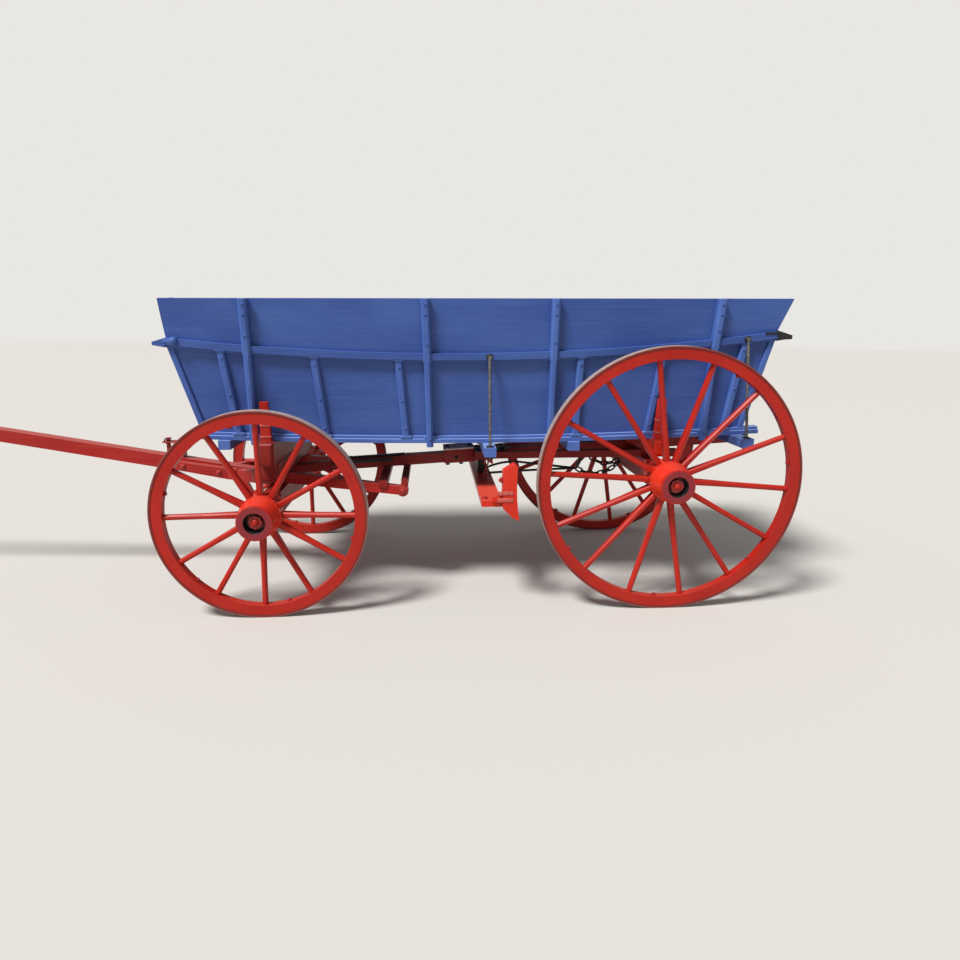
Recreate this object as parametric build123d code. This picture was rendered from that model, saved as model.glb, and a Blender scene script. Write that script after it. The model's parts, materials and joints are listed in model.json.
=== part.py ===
from build123d import *
import os
from math import cos, hypot, radians, sin, sqrt, tan

# Horse- or ox-drawn farm wagon: dished wooden wheels, a reach-coupled running gear and a
# curved, flared box with raked ends. Millimetres, Z up, ground at z = 0, front towards -X.
# The near side, the left one, is at -Y. The origin is on the ground in the middle of the
# overall length, from the tip of the tongue to the tail of the reach.

# How far a solid that only cuts or trims runs past what it trims
OVERSIZE = 100.0

# Overall lengths
WHEELBASE = 2058.0
TRACK = 1422.0
TONGUE_AHEAD = 3250.0
REACH_BEHIND = 726.0
OVERALL_LENGTH = TONGUE_AHEAD + WHEELBASE + REACH_BEHIND
FRONT_AXLE_X = TONGUE_AHEAD - OVERALL_LENGTH / 2
REAR_AXLE_X = FRONT_AXLE_X + WHEELBASE

# Wheels
FRONT_RADIUS = 527.5
REAR_RADIUS = 686.0
FRONT_SPOKES = 12
REAR_SPOKES = 14
REAR_SPOKE_TURN = 8.8
WHEEL_CAMBER = 1.5
TYRE_WIDTH = 50.0
TYRE_THICKNESS = 12.0
FELLOE_DEPTH = 52.0
FELLOE_WIDTH = 46.0
WHEEL_DISH = 28.0
SPOKE_FOOT_WIDE = 30.0
SPOKE_FOOT_DEEP = 45.0
SPOKE_WAIST_WIDE = 26.0
SPOKE_WAIST_DEEP = 34.0
SPOKE_TIP = 27.0
SPOKE_WAIST_AT = 0.45
SPOKE_FOOT_CORNER = 6.0
SPOKE_CORNER = 8.0
TENON_WIDE = 22.0
TENON_DEEP = 36.0
TENON_LENGTH = 30.0

# Hub, measured along the wheel's axis from the middle of the tyre, outward positive
HUB_RADIUS = 104.0
HUB_SHOULDER = 3.0
HUB_END_RADIUS = 81.0
HUB_NECK_RADIUS = 76.0
HUB_OUTER_END = 122.0
HUB_INNER_END = -180.0
HUB_BELT_HALF = 46.0
HUB_BAND_WIDTH = 14.0
HUB_BAND_THICKNESS = 3.0
HUB_RECESS_RADIUS = 53.0
HUB_RECESS_DEPTH = 52.0

# Axle arms
ARM_RADIUS = 30.0
ARM_FIT = 0.05
END_PLAY = 0.5
ARM_COLLAR_RADIUS = 52.0
ARM_COLLAR_LENGTH = 14.0
SKEIN_LENGTH = 90.0
SKEIN_ROOT_RADIUS = 58.0
NUT_RADIUS = 34.0
NUT_SIDES = 8
NUT_LENGTH = 26.0
ARM_END_RADIUS = 15.0
ARM_END_PROUD = 9.0
NUT_WASHER_RADIUS = 42.0
NUT_WASHER_THICKNESS = 5.0

# Axle beams
AXLE_WIDTH = 95.0
AXLE_HEIGHT = 120.0
AXLE_END_INSET = 24.0

# Wheel centres and tops of the axle beams, which carry all that is above
FRONT_CENTRE_Z = FRONT_RADIUS * cos(radians(WHEEL_CAMBER))
REAR_CENTRE_Z = REAR_RADIUS * cos(radians(WHEEL_CAMBER))
FRONT_AXLE_TOP = FRONT_CENTRE_Z + AXLE_HEIGHT / 2
REAR_AXLE_TOP = REAR_CENTRE_Z + AXLE_HEIGHT / 2

# Reach, a straight pole that rises from just over the front axle into a seat in the rear one
REACH_WIDTH = 76.0
REACH_HEIGHT = 60.0
REACH_OVER_AXLE = 8.2
REACH_SEAT = 15.4
REACH_FRONT_Z = FRONT_AXLE_TOP + REACH_OVER_AXLE
REACH_SLOPE = (REAR_AXLE_TOP - REACH_SEAT - REACH_FRONT_Z) / WHEELBASE
REACH_AHEAD = 42.0
REACH_NOSE_HEIGHT = 36.0
REACH_TAPER = 300.0

# Front gear
HOUND_THICKNESS = 62.0
SAND_BOARD_HEIGHT = 90.0
SAND_BOARD_WIDTH = 90.0
SAND_BOARD_HALF = 490.0
HOUND_WIDTH = 52.0
HOUND_AHEAD = 615.0
HOUND_TIP_THICKNESS = 48.0
HOUND_LEAVES_TONGUE = 330.0
HOUND_FLAT = 20.0
HOUND_BEHIND = 718.0
HOUND_AXLE_HALF = 240.0
HOUND_REAR_HALF = 395.0
HOUND_REAR_DROP = 42.0
HOUND_REAR_THICKNESS = 46.0
HOUND_KNOB_RADIUS = 31.0
SLIDER_THICKNESS = 34.0
SLIDER_HALF = 408.0
RUN_CLEARANCE = 6.0
# Each slider bar across the hounds: its front face ahead of their tails, and its width
SLIDERS = [(160.0, 46.0), (40.0, 38.0)]

# Tongue
TONGUE_BUTT_HEIGHT = 84.0
TONGUE_BUTT_WIDTH = 86.0
TONGUE_TIP_HEIGHT = 56.0
TONGUE_TIP_WIDTH = 60.0
TONGUE_BUTT_AHEAD = 66.0
TONGUE_BUTT_DROP = 27.3
TONGUE_BUTT_Z = FRONT_AXLE_TOP - TONGUE_BUTT_DROP
TONGUE_RISE = 9.9
HITCH_HOLE_RADIUS = 14.0
HITCH_HOLE_BACK = 110.0
DOUBLETREE_AHEAD = 685.0
DOUBLETREE_PIN_RADIUS = 12.0
STRAP_WIDTH = 60.0
STRAP_THICKNESS = 8.0
STRAP_HEIGHT = 60.0
STRAP_LENGTH = 90.0
STRAP_NOSE = 24.0
STRAP_SEAT = 20.0
DOUBLETREE_PIN_HEAD = 14.0
DOUBLETREE_PIN_TAIL = 25.0

# King pin
KING_PIN_RADIUS = 15.0
KING_PIN_FIT = 0.1
KING_HEAD_RADIUS = 26.0
KING_HEAD_HEIGHT = 12.0
KING_HEAD_GAP = 1.0
KING_PIN_TAIL = 20.0

# Bolsters and stakes
BOLSTER_WIDTH = 80.0
TURN_GAP = 0.5
BOLSTER_HALF = 560.0
STAKE_WIDE = 58.0
STAKE_TIP_WIDE = 40.0
STAKE_DEEP = 46.0
STAKE_TIP_DEEP = 30.0
FRONT_STAKE_RISE = 209.0
REAR_STAKE_RISE = 219.0
STAKE_GAP = 2.0
STAKE_HEEL = 25.0
BEAM_END_CHAMFER = 12.0

# Rear hounds
REAR_HOUND_WIDTH = 58.0
REAR_HOUND_THICKNESS = 40.0
REAR_HOUND_AHEAD = 960.0
REAR_HOUND_BEHIND = 170.0
REAR_HOUND_SPREAD = 330.0
HOUND_PLATE_THICKNESS = 8.0
HOUND_PLATE_LENGTH = 190.0
HOUND_PLATE_WIDTH = 210.0
REAR_BOLSTER_BOTTOM = REAR_AXLE_TOP + REAR_HOUND_THICKNESS

# Brake, set from the front of the rear tyre and from the rear wheel's centre
BRAKE_FROM_TYRE = 226.0
BRAKE_AHEAD = REAR_RADIUS + BRAKE_FROM_TYRE
BRAKE_BEAM_WIDE = 104.0
BRAKE_BEAM_HEIGHT = 30.0
BRAKE_BEAM_DROP = 127.0
BRAKE_BEAM_Z = REAR_CENTRE_Z - BRAKE_BEAM_DROP
BRAKE_BEAM_INSIDE_TRACK = 11.0
BRAKE_BEAM_HALF = TRACK / 2 - BRAKE_BEAM_INSIDE_TRACK
SHOE_WIDTH = 64.0
SHOE_HOLLOW = 8.0
SHOE_TIE_WIDE = 26.0
SHOE_TIE_HEIGHT = 24.0
BRAKE_HANGER_WIDTH = 50.0
# Outline of a shoe from its rear foot round to its rear top: distance ahead of the tyre,
# height above the wheel's centre
SHOE_OUTLINE = [
    (90.0, -192.0), (125.0, -174.0), (174.0, -124.0), (174.0, 65.0), (117.0, 101.0), (101.0, 87.0),
]

# Box: the curves of its sides are set from the axles at the front end and the rear end, and
# sag below the mean of the two at the lowest point
BED_HALF = 432.0
SIDE_FLARE = 6.0
PANEL_THICKNESS = 22.0
FLOOR_THICKNESS = 28.0
FLOOR_END_GAP = 5.0
BOX_LOW_PAST_MIDDLE = 71.0
SILL_OVER_FRONT_AXLE = 288.7
SILL_OVER_REAR_AXLE = 147.2
SILL_SAG = 34.5
SILL_FRONT_Z = FRONT_AXLE_TOP + SILL_OVER_FRONT_AXLE
SILL_REAR_Z = REAR_AXLE_TOP + SILL_OVER_REAR_AXLE
SILL_LOW_Z = (SILL_FRONT_Z + SILL_REAR_Z) / 2 - SILL_SAG
SILL_HEIGHT = 40.0
SILL_PROUD = 28.0
SILL_CHAMFER = 14.0
PANEL_FRONT_HEIGHT = 458.0
PANEL_REAR_HEIGHT = 491.0
RAIL_SAG = 80.0
RAIL_FRONT_Z = SILL_FRONT_Z + PANEL_FRONT_HEIGHT
RAIL_REAR_Z = SILL_REAR_Z + PANEL_REAR_HEIGHT
RAIL_LOW_Z = (RAIL_FRONT_Z + RAIL_REAR_Z) / 2 - RAIL_SAG
RAIL_HEIGHT = 46.0
RAIL_PROUD = 28.0
RAIL_CHAMFER = 12.0
BOARD_FRONT_HEIGHT = 246.0
BOARD_REAR_HEIGHT = 228.0
TOP_FRONT_Z = RAIL_FRONT_Z + BOARD_FRONT_HEIGHT
TOP_REAR_Z = RAIL_REAR_Z + BOARD_REAR_HEIGHT

# Ends of the sides, as distances ahead of the front axle and behind the rear one
SIDE_FOOT_AHEAD = 335.0
SIDE_RAIL_AHEAD = 458.0
SIDE_TOP_AHEAD = 482.0
SIDE_BOW_AHEAD = 472.0
SIDE_FOOT_BEHIND = 477.0
SIDE_RAIL_BEHIND = 590.0
SIDE_TOP_BEHIND = 668.0
HORN_LENGTH = 62.0
HORN_TIP_LOW = 0.25
HORN_TIP_HIGH = 0.6
KNOB_RADIUS = 24.0
KNOB_TIP_RADIUS = 9.0
KNOB_BEHIND_EDGE = 42.0
KNOB_LIFT = 34.0
SILL_TAIL = 80.0

# Standards and ribs on the outside of each side
STANDARD_WIDTH = 42.0
STANDARD_FOOT_WIDTH = 36.0
STANDARD_DEPTH = 42.0
STANDARD_CHAMFER = 10.0
STANDARD_TAIL = 14.0
RIB_WIDTH = 38.0
RIB_DEPTH = 24.0
RIB_CHAMFER = 8.0
EDGE_CLEAT_WIDTH = 32.0
EDGE_CLEAT_DEPTH = 12.0
EDGE_CLEAT_CHAMFER = 4.0
# Each standard: the axle it is set from, and its middle behind that axle at the top and at the sill
STANDARDS = [
    (FRONT_AXLE_X, -72.0, -66.0), (FRONT_AXLE_X, 814.0, 836.0),
    (REAR_AXLE_X, -583.0, -583.0), (REAR_AXLE_X, 278.0, 247.0),
]
# Each rib: the axle it is set from, and its middle behind that axle at the rail and at the sill
RIBS = [
    (FRONT_AXLE_X, -204.0, -142.0), (FRONT_AXLE_X, 252.0, 300.0), (FRONT_AXLE_X, 676.0, 712.0),
    (REAR_AXLE_X, -438.0, -446.0), (REAR_AXLE_X, 2.0, -58.0), (REAR_AXLE_X, 432.0, 362.0),
]

# Cross sills under the floor: the places of the long ones, which take the tie rods, and the short
CROSS_SILL_HEIGHT = 48.0
CROSS_SILL_WIDTH = 60.0
ROD_SILL_HALF = 640.0
SHORT_SILL_HALF = 505.0
FRONT_CROSS_SILL_X = FRONT_AXLE_X - 215.0
MIDDLE_CROSS_SILL_X = FRONT_AXLE_X + 1142.0
HIND_CROSS_SILL_X = REAR_AXLE_X - 458.0
REAR_CROSS_SILL_X = REAR_AXLE_X + 432.0
ROD_SILLS = [MIDDLE_CROSS_SILL_X, REAR_CROSS_SILL_X]
SHORT_SILLS = [FRONT_CROSS_SILL_X, HIND_CROSS_SILL_X]
ROD_RADIUS = 7.5
ROD_INSET = 26.0
ROD_TAIL = 14.0
ROD_EYE_RADIUS = 12.0

# Raked ends, between the sides
END_THICKNESS = 22.0
FRONT_END_FOOT = 268.0
FRONT_END_RAKE = 9.8
REAR_END_FOOT = 412.0
REAR_END_RAKE = 12.0
END_RAIL_HEIGHT = 46.0
END_RAIL_PROUD = 28.0
END_BATTEN_WIDTH = 60.0
END_BATTEN_DEPTH = 22.0
END_BATTEN_FROM_SIDE = 70.0
FRONT_LAP = 30.0
GATE_GAP = 8.0
GATE_TOP_GAP = 10.0

# Hinges of the tail gate, on the rear cross sill: places in the gate's own plane
HINGE_FROM_MIDDLE = 280.0
HINGE_UP = 6.0
HINGE_STANDOFF = 14.0
HINGE_LEAF_WIDTH = 44.0
HINGE_LEAF_THICKNESS = 6.0
HINGE_PIN_RADIUS = 6.0
HINGE_PIN_FIT = 0.05
HINGE_KNUCKLE_RADIUS = 12.0
HINGE_LUG_RADIUS = 9.0
HINGE_LUG_WIDTH = 14.0
HINGE_END_PLAY = 1.0


def fb(x):
    """Place along the wagon of a point x behind the front axle."""
    return FRONT_AXLE_X + x


def rb(x):
    """Place along the wagon of a point x behind the rear axle."""
    return REAR_AXLE_X + x


def outline(points):
    """Flat face inside straight lines through the points."""
    return make_face(Polyline(*points, close=True))


def turned(points):
    """Solid turned about Z from a profile of radius and height."""
    return revolve(Plane.XZ * outline(points), Axis.Z)


def bar(x0, x1, y0, y1, z0, z1):
    """Square-edged timber between two corners."""
    return Pos((x0 + x1) / 2, (y0 + y1) / 2, (z0 + z1) / 2) * Box(x1 - x0, y1 - y0, z1 - z0)


def both_sides(solid):
    """The solid and its mirror image across the middle of the wagon."""
    return Compound(children=[solid, mirror(solid, Plane.XZ)])


def tapered(x_dir, z_dir, stations):
    """Straight-sided loft through rectangles: (centre, width, depth) each."""
    faces = []
    for centre, width, depth in stations:
        faces.append(Plane(centre, x_dir=x_dir, z_dir=z_dir) * Rectangle(width, depth))
    return loft(faces, ruled=True)


# Wheels stand leaning out by the camber, each on its drooping arm
def wheel_plane(axle_x, side, centre_z):
    """Local z points outward along the arm, local y up the wheel."""
    lean = radians(WHEEL_CAMBER)
    return Plane(
        origin=(axle_x, side * TRACK / 2, centre_z),
        x_dir=(-side, 0, 0),
        z_dir=(0, side * cos(lean), -sin(lean)),
    )


def coned(radius, across):
    """Radius of the tyre's cone, so that the tread lies flat on the ground."""
    return radius - across * tan(radians(WHEEL_CAMBER))


def ring(outer, inner, width):
    """Coned ring about the wheel's axis."""
    half = width / 2
    return turned(
        [
            (coned(inner, -half), -half), (coned(outer, -half), -half),
            (coned(outer, half), half), (coned(inner, half), half),
        ]
    )


def tyre(radius):
    return ring(radius, radius - TYRE_THICKNESS, TYRE_WIDTH)


def spoke_section(distance, across, wide, deep, corner):
    """Eight-sided section of a spoke at a distance from the axis."""
    w = wide / 2
    d = deep / 2
    points = [
        (-w + corner, -d), (w - corner, -d), (w, -d + corner), (w, d - corner),
        (w - corner, d), (-w + corner, d), (-w, d - corner), (-w, -d + corner),
    ]
    plane = Plane(origin=(0, distance, across), x_dir=(1, 0, 0), z_dir=(0, 1, 0))
    return plane * outline(points)


def spoke(felloe_inner):
    """One spoke up the wheel's local y, with its tenon in the hub."""
    foot = HUB_RADIUS
    span = felloe_inner + FELLOE_DEPTH / 3 - foot
    waist = foot + span * SPOKE_WAIST_AT
    waist_dish = WHEEL_DISH * (1 - SPOKE_WAIST_AT)
    sections = [
        spoke_section(foot, -WHEEL_DISH, SPOKE_FOOT_WIDE, SPOKE_FOOT_DEEP, SPOKE_FOOT_CORNER),
        spoke_section(waist, -waist_dish, SPOKE_WAIST_WIDE, SPOKE_WAIST_DEEP, SPOKE_CORNER),
        spoke_section(foot + span, 0, SPOKE_TIP, SPOKE_TIP, SPOKE_CORNER),
    ]
    tenon = Pos(0, foot - TENON_LENGTH / 2, -WHEEL_DISH) * Box(TENON_WIDE, TENON_LENGTH, TENON_DEEP)
    return loft(sections, ruled=True) + tenon


def spoke_turns(count, first):
    return [Rot(0, 0, first + 360 * i / count) for i in range(count)]


def spoked_rim(radius, count, first):
    outer = radius - TYRE_THICKNESS
    felloe_inner = outer - FELLOE_DEPTH
    rim = ring(outer, felloe_inner, FELLOE_WIDTH)
    one = spoke(felloe_inner)
    return rim + [turn * one for turn in spoke_turns(count, first)]


def hub(count, first):
    belt_in = -WHEEL_DISH - HUB_BELT_HALF
    belt_out = -WHEEL_DISH + HUB_BELT_HALF
    band_in = HUB_INNER_END + HUB_BAND_WIDTH
    band_out = HUB_OUTER_END - HUB_BAND_WIDTH
    recess_floor = HUB_OUTER_END - HUB_RECESS_DEPTH
    bore = ARM_RADIUS + ARM_FIT
    body = turned(
        [
            (bore, HUB_INNER_END),
            (HUB_NECK_RADIUS, HUB_INNER_END),
            (HUB_NECK_RADIUS + HUB_BAND_THICKNESS, band_in),
            (HUB_NECK_RADIUS, band_in),
            (HUB_RADIUS - HUB_SHOULDER, belt_in),
            (HUB_RADIUS, belt_in),
            (HUB_RADIUS, belt_out),
            (HUB_RADIUS - HUB_SHOULDER, belt_out),
            (HUB_END_RADIUS, band_out),
            (HUB_END_RADIUS + HUB_BAND_THICKNESS, band_out),
            (HUB_END_RADIUS, HUB_OUTER_END),
            (HUB_RECESS_RADIUS, HUB_OUTER_END),
            (HUB_RECESS_RADIUS, recess_floor),
            (bore, recess_floor),
        ]
    )
    depth = TENON_LENGTH
    mortise = Pos(0, HUB_RADIUS - depth / 2, -WHEEL_DISH) * Box(TENON_WIDE, depth, TENON_DEEP)
    return body - [turn * mortise for turn in spoke_turns(count, first)]


def axle_arm():
    """Iron arm with its skein, collar and nut, in the wheel's own frame."""
    collar = HUB_INNER_END - END_PLAY
    root = collar - ARM_COLLAR_LENGTH
    washer = HUB_OUTER_END - HUB_RECESS_DEPTH + END_PLAY
    nut_seat = washer + NUT_WASHER_THICKNESS
    shaft = turned(
        [
            (0, root - SKEIN_LENGTH),
            (SKEIN_ROOT_RADIUS, root - SKEIN_LENGTH),
            (ARM_COLLAR_RADIUS, root),
            (ARM_COLLAR_RADIUS, collar),
            (ARM_RADIUS, collar),
            (ARM_RADIUS, washer),
            (NUT_WASHER_RADIUS, washer),
            (NUT_WASHER_RADIUS, nut_seat),
            (ARM_END_RADIUS, nut_seat),
            (ARM_END_RADIUS, nut_seat + NUT_LENGTH + ARM_END_PROUD),
            (0, nut_seat + NUT_LENGTH + ARM_END_PROUD),
        ]
    )
    nut = extrude(Plane(origin=(0, 0, nut_seat)) * RegularPolygon(NUT_RADIUS, NUT_SIDES), NUT_LENGTH)
    return shaft + nut


def axle_arms(axle_x, centre_z):
    one = wheel_plane(axle_x, -1, centre_z) * axle_arm()
    return both_sides(one)


def axle_beam(axle_x, middle, arms):
    """Wooden beam whose ends are turned down to fit the skeins."""
    half = TRACK / 2 + HUB_INNER_END - END_PLAY - ARM_COLLAR_LENGTH - AXLE_END_INSET
    w = AXLE_WIDTH / 2
    h = AXLE_HEIGHT / 2
    beam = bar(axle_x - w, axle_x + w, -half, half, middle - h, middle + h)
    return beam - arms


# Front gear: axle, hounds, sand board, slider bar and tongue turn together on the king pin
HOUND_TOP = FRONT_AXLE_TOP + HOUND_THICKNESS
SAND_BOARD_TOP = HOUND_TOP + SAND_BOARD_HEIGHT


def reach_bottom(x):
    """Height of the reach's underside at a place along the wagon."""
    return REACH_FRONT_Z + (x - FRONT_AXLE_X) * REACH_SLOPE


def reach_top(x):
    """Height of the reach's top, which tapers to its nose."""
    share = min(1, (x - fb(-REACH_AHEAD)) / REACH_TAPER)
    return reach_bottom(x) + REACH_NOSE_HEIGHT + share * (REACH_HEIGHT - REACH_NOSE_HEIGHT)


def king_hole():
    """Upright hole for the king pin, with its running fit."""
    return Pos(FRONT_AXLE_X, 0, REACH_FRONT_Z) * Cylinder(KING_PIN_RADIUS + KING_PIN_FIT, 2 * REACH_FRONT_Z)


def tongue_centre(ahead):
    """Middle of the tongue at a distance ahead of the front axle."""
    return TONGUE_BUTT_Z + (ahead - TONGUE_BUTT_AHEAD) * tan(radians(TONGUE_RISE))


def tongue_size(ahead, butt, tip):
    """Width or height of the tongue, from its size at the butt and at the tip."""
    share = (ahead - TONGUE_BUTT_AHEAD) / (TONGUE_AHEAD - TONGUE_BUTT_AHEAD)
    return butt + share * (tip - butt)


def tongue_width(ahead):
    return tongue_size(ahead, TONGUE_BUTT_WIDTH, TONGUE_TIP_WIDTH)


def tongue_height(ahead):
    return tongue_size(ahead, TONGUE_BUTT_HEIGHT, TONGUE_TIP_HEIGHT)


def eased_ends(beam):
    """Cross beam with the edges of both its end faces chamfered."""
    ends = beam.faces().sort_by(Axis.Y)
    return chamfer(ends[0].edges() + ends[-1].edges(), BEAM_END_CHAMFER)


def sand_board():
    w = SAND_BOARD_WIDTH / 2
    board = bar(fb(-w), fb(w), -SAND_BOARD_HALF, SAND_BOARD_HALF, HOUND_TOP, SAND_BOARD_TOP)
    return eased_ends(board) - king_hole()


def front_hound():
    """Near hound: along the tongue, flat over the axle, then spread and dropped to a round end."""
    flat = SAND_BOARD_WIDTH / 2 + HOUND_FLAT
    mid_z = FRONT_AXLE_TOP + HOUND_THICKNESS / 2
    tail_x = fb(HOUND_BEHIND - HOUND_KNOB_RADIUS)
    tail = (tail_x, -HOUND_REAR_HALF, mid_z - HOUND_REAR_DROP)
    stations = [
        ((fb(-flat), -HOUND_AXLE_HALF, mid_z), HOUND_WIDTH, HOUND_THICKNESS),
        ((fb(flat), -HOUND_AXLE_HALF, mid_z), HOUND_WIDTH, HOUND_THICKNESS),
        (tail, HOUND_WIDTH, HOUND_REAR_THICKNESS),
    ]
    for ahead, depth in [(HOUND_LEAVES_TONGUE, HOUND_THICKNESS), (HOUND_AHEAD, HOUND_TIP_THICKNESS)]:
        y = -(tongue_width(ahead) + HOUND_WIDTH) / 2
        stations.insert(0, ((fb(-ahead), y, tongue_centre(ahead)), HOUND_WIDTH, depth))
    knob_end = Pos(*tail) * Rot(90, 0, 0) * Cylinder(HOUND_KNOB_RADIUS, HOUND_WIDTH)
    return tapered((0, 1, 0), (1, 0, 0), stations) + knob_end


def slider_bars():
    """Bars across the hounds' tails, just under the reach."""
    bars = []
    for ahead, width in SLIDERS:
        x0 = fb(HOUND_BEHIND - ahead)
        top = reach_bottom(x0) - RUN_CLEARANCE
        bars.append(bar(x0, x0 + width, -SLIDER_HALF, SLIDER_HALF, top - SLIDER_THICKNESS, top))
    return bars


def tongue():
    stations = [
        ((fb(-TONGUE_BUTT_AHEAD), 0, TONGUE_BUTT_Z), TONGUE_BUTT_WIDTH, TONGUE_BUTT_HEIGHT),
        ((fb(-TONGUE_AHEAD), 0, tongue_centre(TONGUE_AHEAD)), TONGUE_TIP_WIDTH, TONGUE_TIP_HEIGHT),
    ]
    pole = tapered((0, 1, 0), (1, 0, 0), stations)
    hole_x = fb(-TONGUE_AHEAD + HITCH_HOLE_BACK)
    hole_z = tongue_centre(TONGUE_AHEAD - HITCH_HOLE_BACK)
    hitch = Pos(hole_x, 0, hole_z) * Cylinder(HITCH_HOLE_RADIUS, 2 * TONGUE_TIP_HEIGHT)
    pin_z = tongue_centre(DOUBLETREE_AHEAD)
    pin = Pos(fb(-DOUBLETREE_AHEAD), 0, pin_z) * Cylinder(DOUBLETREE_PIN_RADIUS, 2 * TONGUE_BUTT_HEIGHT)
    return pole - hitch - pin


def tongue_irons(pole):
    """Hammer strap over the tongue, and the pin that holds a doubletree."""
    x0 = fb(-DOUBLETREE_AHEAD)
    x1 = x0 + STRAP_LENGTH
    middle = tongue_centre(DOUBLETREE_AHEAD)
    half = tongue_height(DOUBLETREE_AHEAD) / 2
    seat = middle + half + STRAP_SEAT
    top = seat + STRAP_HEIGHT
    w = STRAP_WIDTH / 2
    foot = bar(x0, x1, -w, w, middle, seat) - pole
    upright = bar(x1 - STRAP_THICKNESS, x1, -w, w, seat, top)
    arm = bar(x0 - STRAP_NOSE, x1, -w, w, top - STRAP_THICKNESS, top)
    bottom = middle - half - DOUBLETREE_PIN_TAIL
    pin_top = top + DOUBLETREE_PIN_HEAD
    pin = Pos(x0, 0, (bottom + pin_top) / 2) * Cylinder(DOUBLETREE_PIN_RADIUS, pin_top - bottom)
    return foot + upright + arm + pin


# Root gear: bolsters with stakes, reach, rear hounds and brake stay with the box
def arc_height(front, low, rear, x):
    """Height at x of the circle through the box's front end, low point and rear end."""
    xs = (fb(-SIDE_FOOT_AHEAD), fb(WHEELBASE / 2 + BOX_LOW_PAST_MIDDLE), rb(SIDE_FOOT_BEHIND))
    ax, bx, cx = xs
    ay, by, cy = front, low, rear
    d = 2 * (ax * (by - cy) + bx * (cy - ay) + cx * (ay - by))
    a2 = ax * ax + ay * ay
    b2 = bx * bx + by * by
    c2 = cx * cx + cy * cy
    ux = (a2 * (by - cy) + b2 * (cy - ay) + c2 * (ay - by)) / d
    uy = (a2 * (cx - bx) + b2 * (ax - cx) + c2 * (bx - ax)) / d
    r = hypot(ax - ux, ay - uy)
    return uy - sqrt(r * r - (x - ux) ** 2)


def sill_bottom(x):
    return arc_height(SILL_FRONT_Z, SILL_LOW_Z, SILL_REAR_Z, x)


def rail_bottom(x):
    return arc_height(RAIL_FRONT_Z, RAIL_LOW_Z, RAIL_REAR_Z, x)


def top_edge(x):
    """Straight top edge of the box."""
    x0 = fb(-SIDE_TOP_AHEAD)
    x1 = rb(SIDE_TOP_BEHIND)
    return TOP_FRONT_Z + (x - x0) / (x1 - x0) * (TOP_REAR_Z - TOP_FRONT_Z)


# The side's inner face passes through BED_HALF at the height of the low point of the sills
FLARE = radians(SIDE_FLARE)
SIDE_PLANE = Plane(
    origin=(0, -BED_HALF, SILL_LOW_Z), x_dir=(1, 0, 0), z_dir=(0, -cos(FLARE), -sin(FLARE))
)
BED_LINE = SIDE_PLANE.origin.Z


def up(z):
    """Distance up the slanting side of a height above the ground."""
    return (z - BED_LINE) / cos(FLARE)


def inner_half(z):
    """Half the width between the sides at a height."""
    return BED_HALF + (z - BED_LINE) * tan(FLARE)


def outer_half(z, proud):
    """Half the width over something that stands proud of the side's inner face."""
    return inner_half(z) + proud / cos(FLARE)


def curve(height, lift, x0, x1):
    """Arc on the side plane that follows a height function."""
    places = [x0, (x0 + x1) / 2, x1]
    return ThreePointArc(*[(x, up(height(x) + lift)) for x in places])


def strip(height, low, high, x0, x1):
    """Curved strip on the side plane between two lifts above a height function."""
    bottom = curve(height, low, x0, x1)
    top = curve(height, high, x0, x1)
    return make_face([bottom, Line(bottom @ 1, top @ 1), top, Line(top @ 0, bottom @ 0)])


def on_side(face, inner, outer):
    """Face on the side plane, as a solid from one distance outward to another."""
    return SIDE_PLANE.offset(inner) * extrude(face, outer - inner)


def sill(above):
    """Sill along the foot of a side, chamfered above and planed level below."""
    outer = PANEL_THICKNESS + SILL_PROUD
    inset = outer - SILL_CHAMFER
    x0 = fb(-SIDE_FOOT_AHEAD)
    x1 = rb(SIDE_FOOT_BEHIND + SILL_TAIL)
    plain = on_side(strip(sill_bottom, -SILL_CHAMFER, SILL_HEIGHT, x0, x1), 0, inset)
    lip = on_side(strip(sill_bottom, -SILL_CHAMFER, SILL_HEIGHT - SILL_CHAMFER, x0, x1), inset, outer)
    return (plain + lip) & above


def lower_panel(sill_piece):
    x0, x1 = fb(-SIDE_FOOT_AHEAD), rb(SIDE_FOOT_BEHIND)
    x2, x3 = fb(-SIDE_RAIL_AHEAD), rb(SIDE_RAIL_BEHIND)
    bottom = curve(sill_bottom, SILL_HEIGHT, x0, x1)
    seam = curve(rail_bottom, RAIL_HEIGHT / 2, x2, x3)
    face = make_face([bottom, Line(bottom @ 1, seam @ 1), seam, Line(seam @ 0, bottom @ 0)])
    return on_side(face, 0, PANEL_THICKNESS) - sill_piece


def upper_board():
    x0, x1 = fb(-SIDE_RAIL_AHEAD), rb(SIDE_RAIL_BEHIND)
    x2, x3 = fb(-SIDE_TOP_AHEAD), rb(SIDE_TOP_BEHIND)
    seam = curve(rail_bottom, RAIL_HEIGHT / 2, x0, x1)
    front_top = (x2, up(TOP_FRONT_Z))
    rear_top = (x3, up(TOP_REAR_Z))
    bow_z = (TOP_FRONT_Z + RAIL_FRONT_Z + RAIL_HEIGHT) / 2
    bow = ThreePointArc(seam @ 0, (fb(-SIDE_BOW_AHEAD), up(bow_z)), front_top)
    face = make_face([seam, Line(seam @ 1, rear_top), Line(rear_top, front_top), bow])
    return on_side(face, 0, PANEL_THICKNESS)


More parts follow.
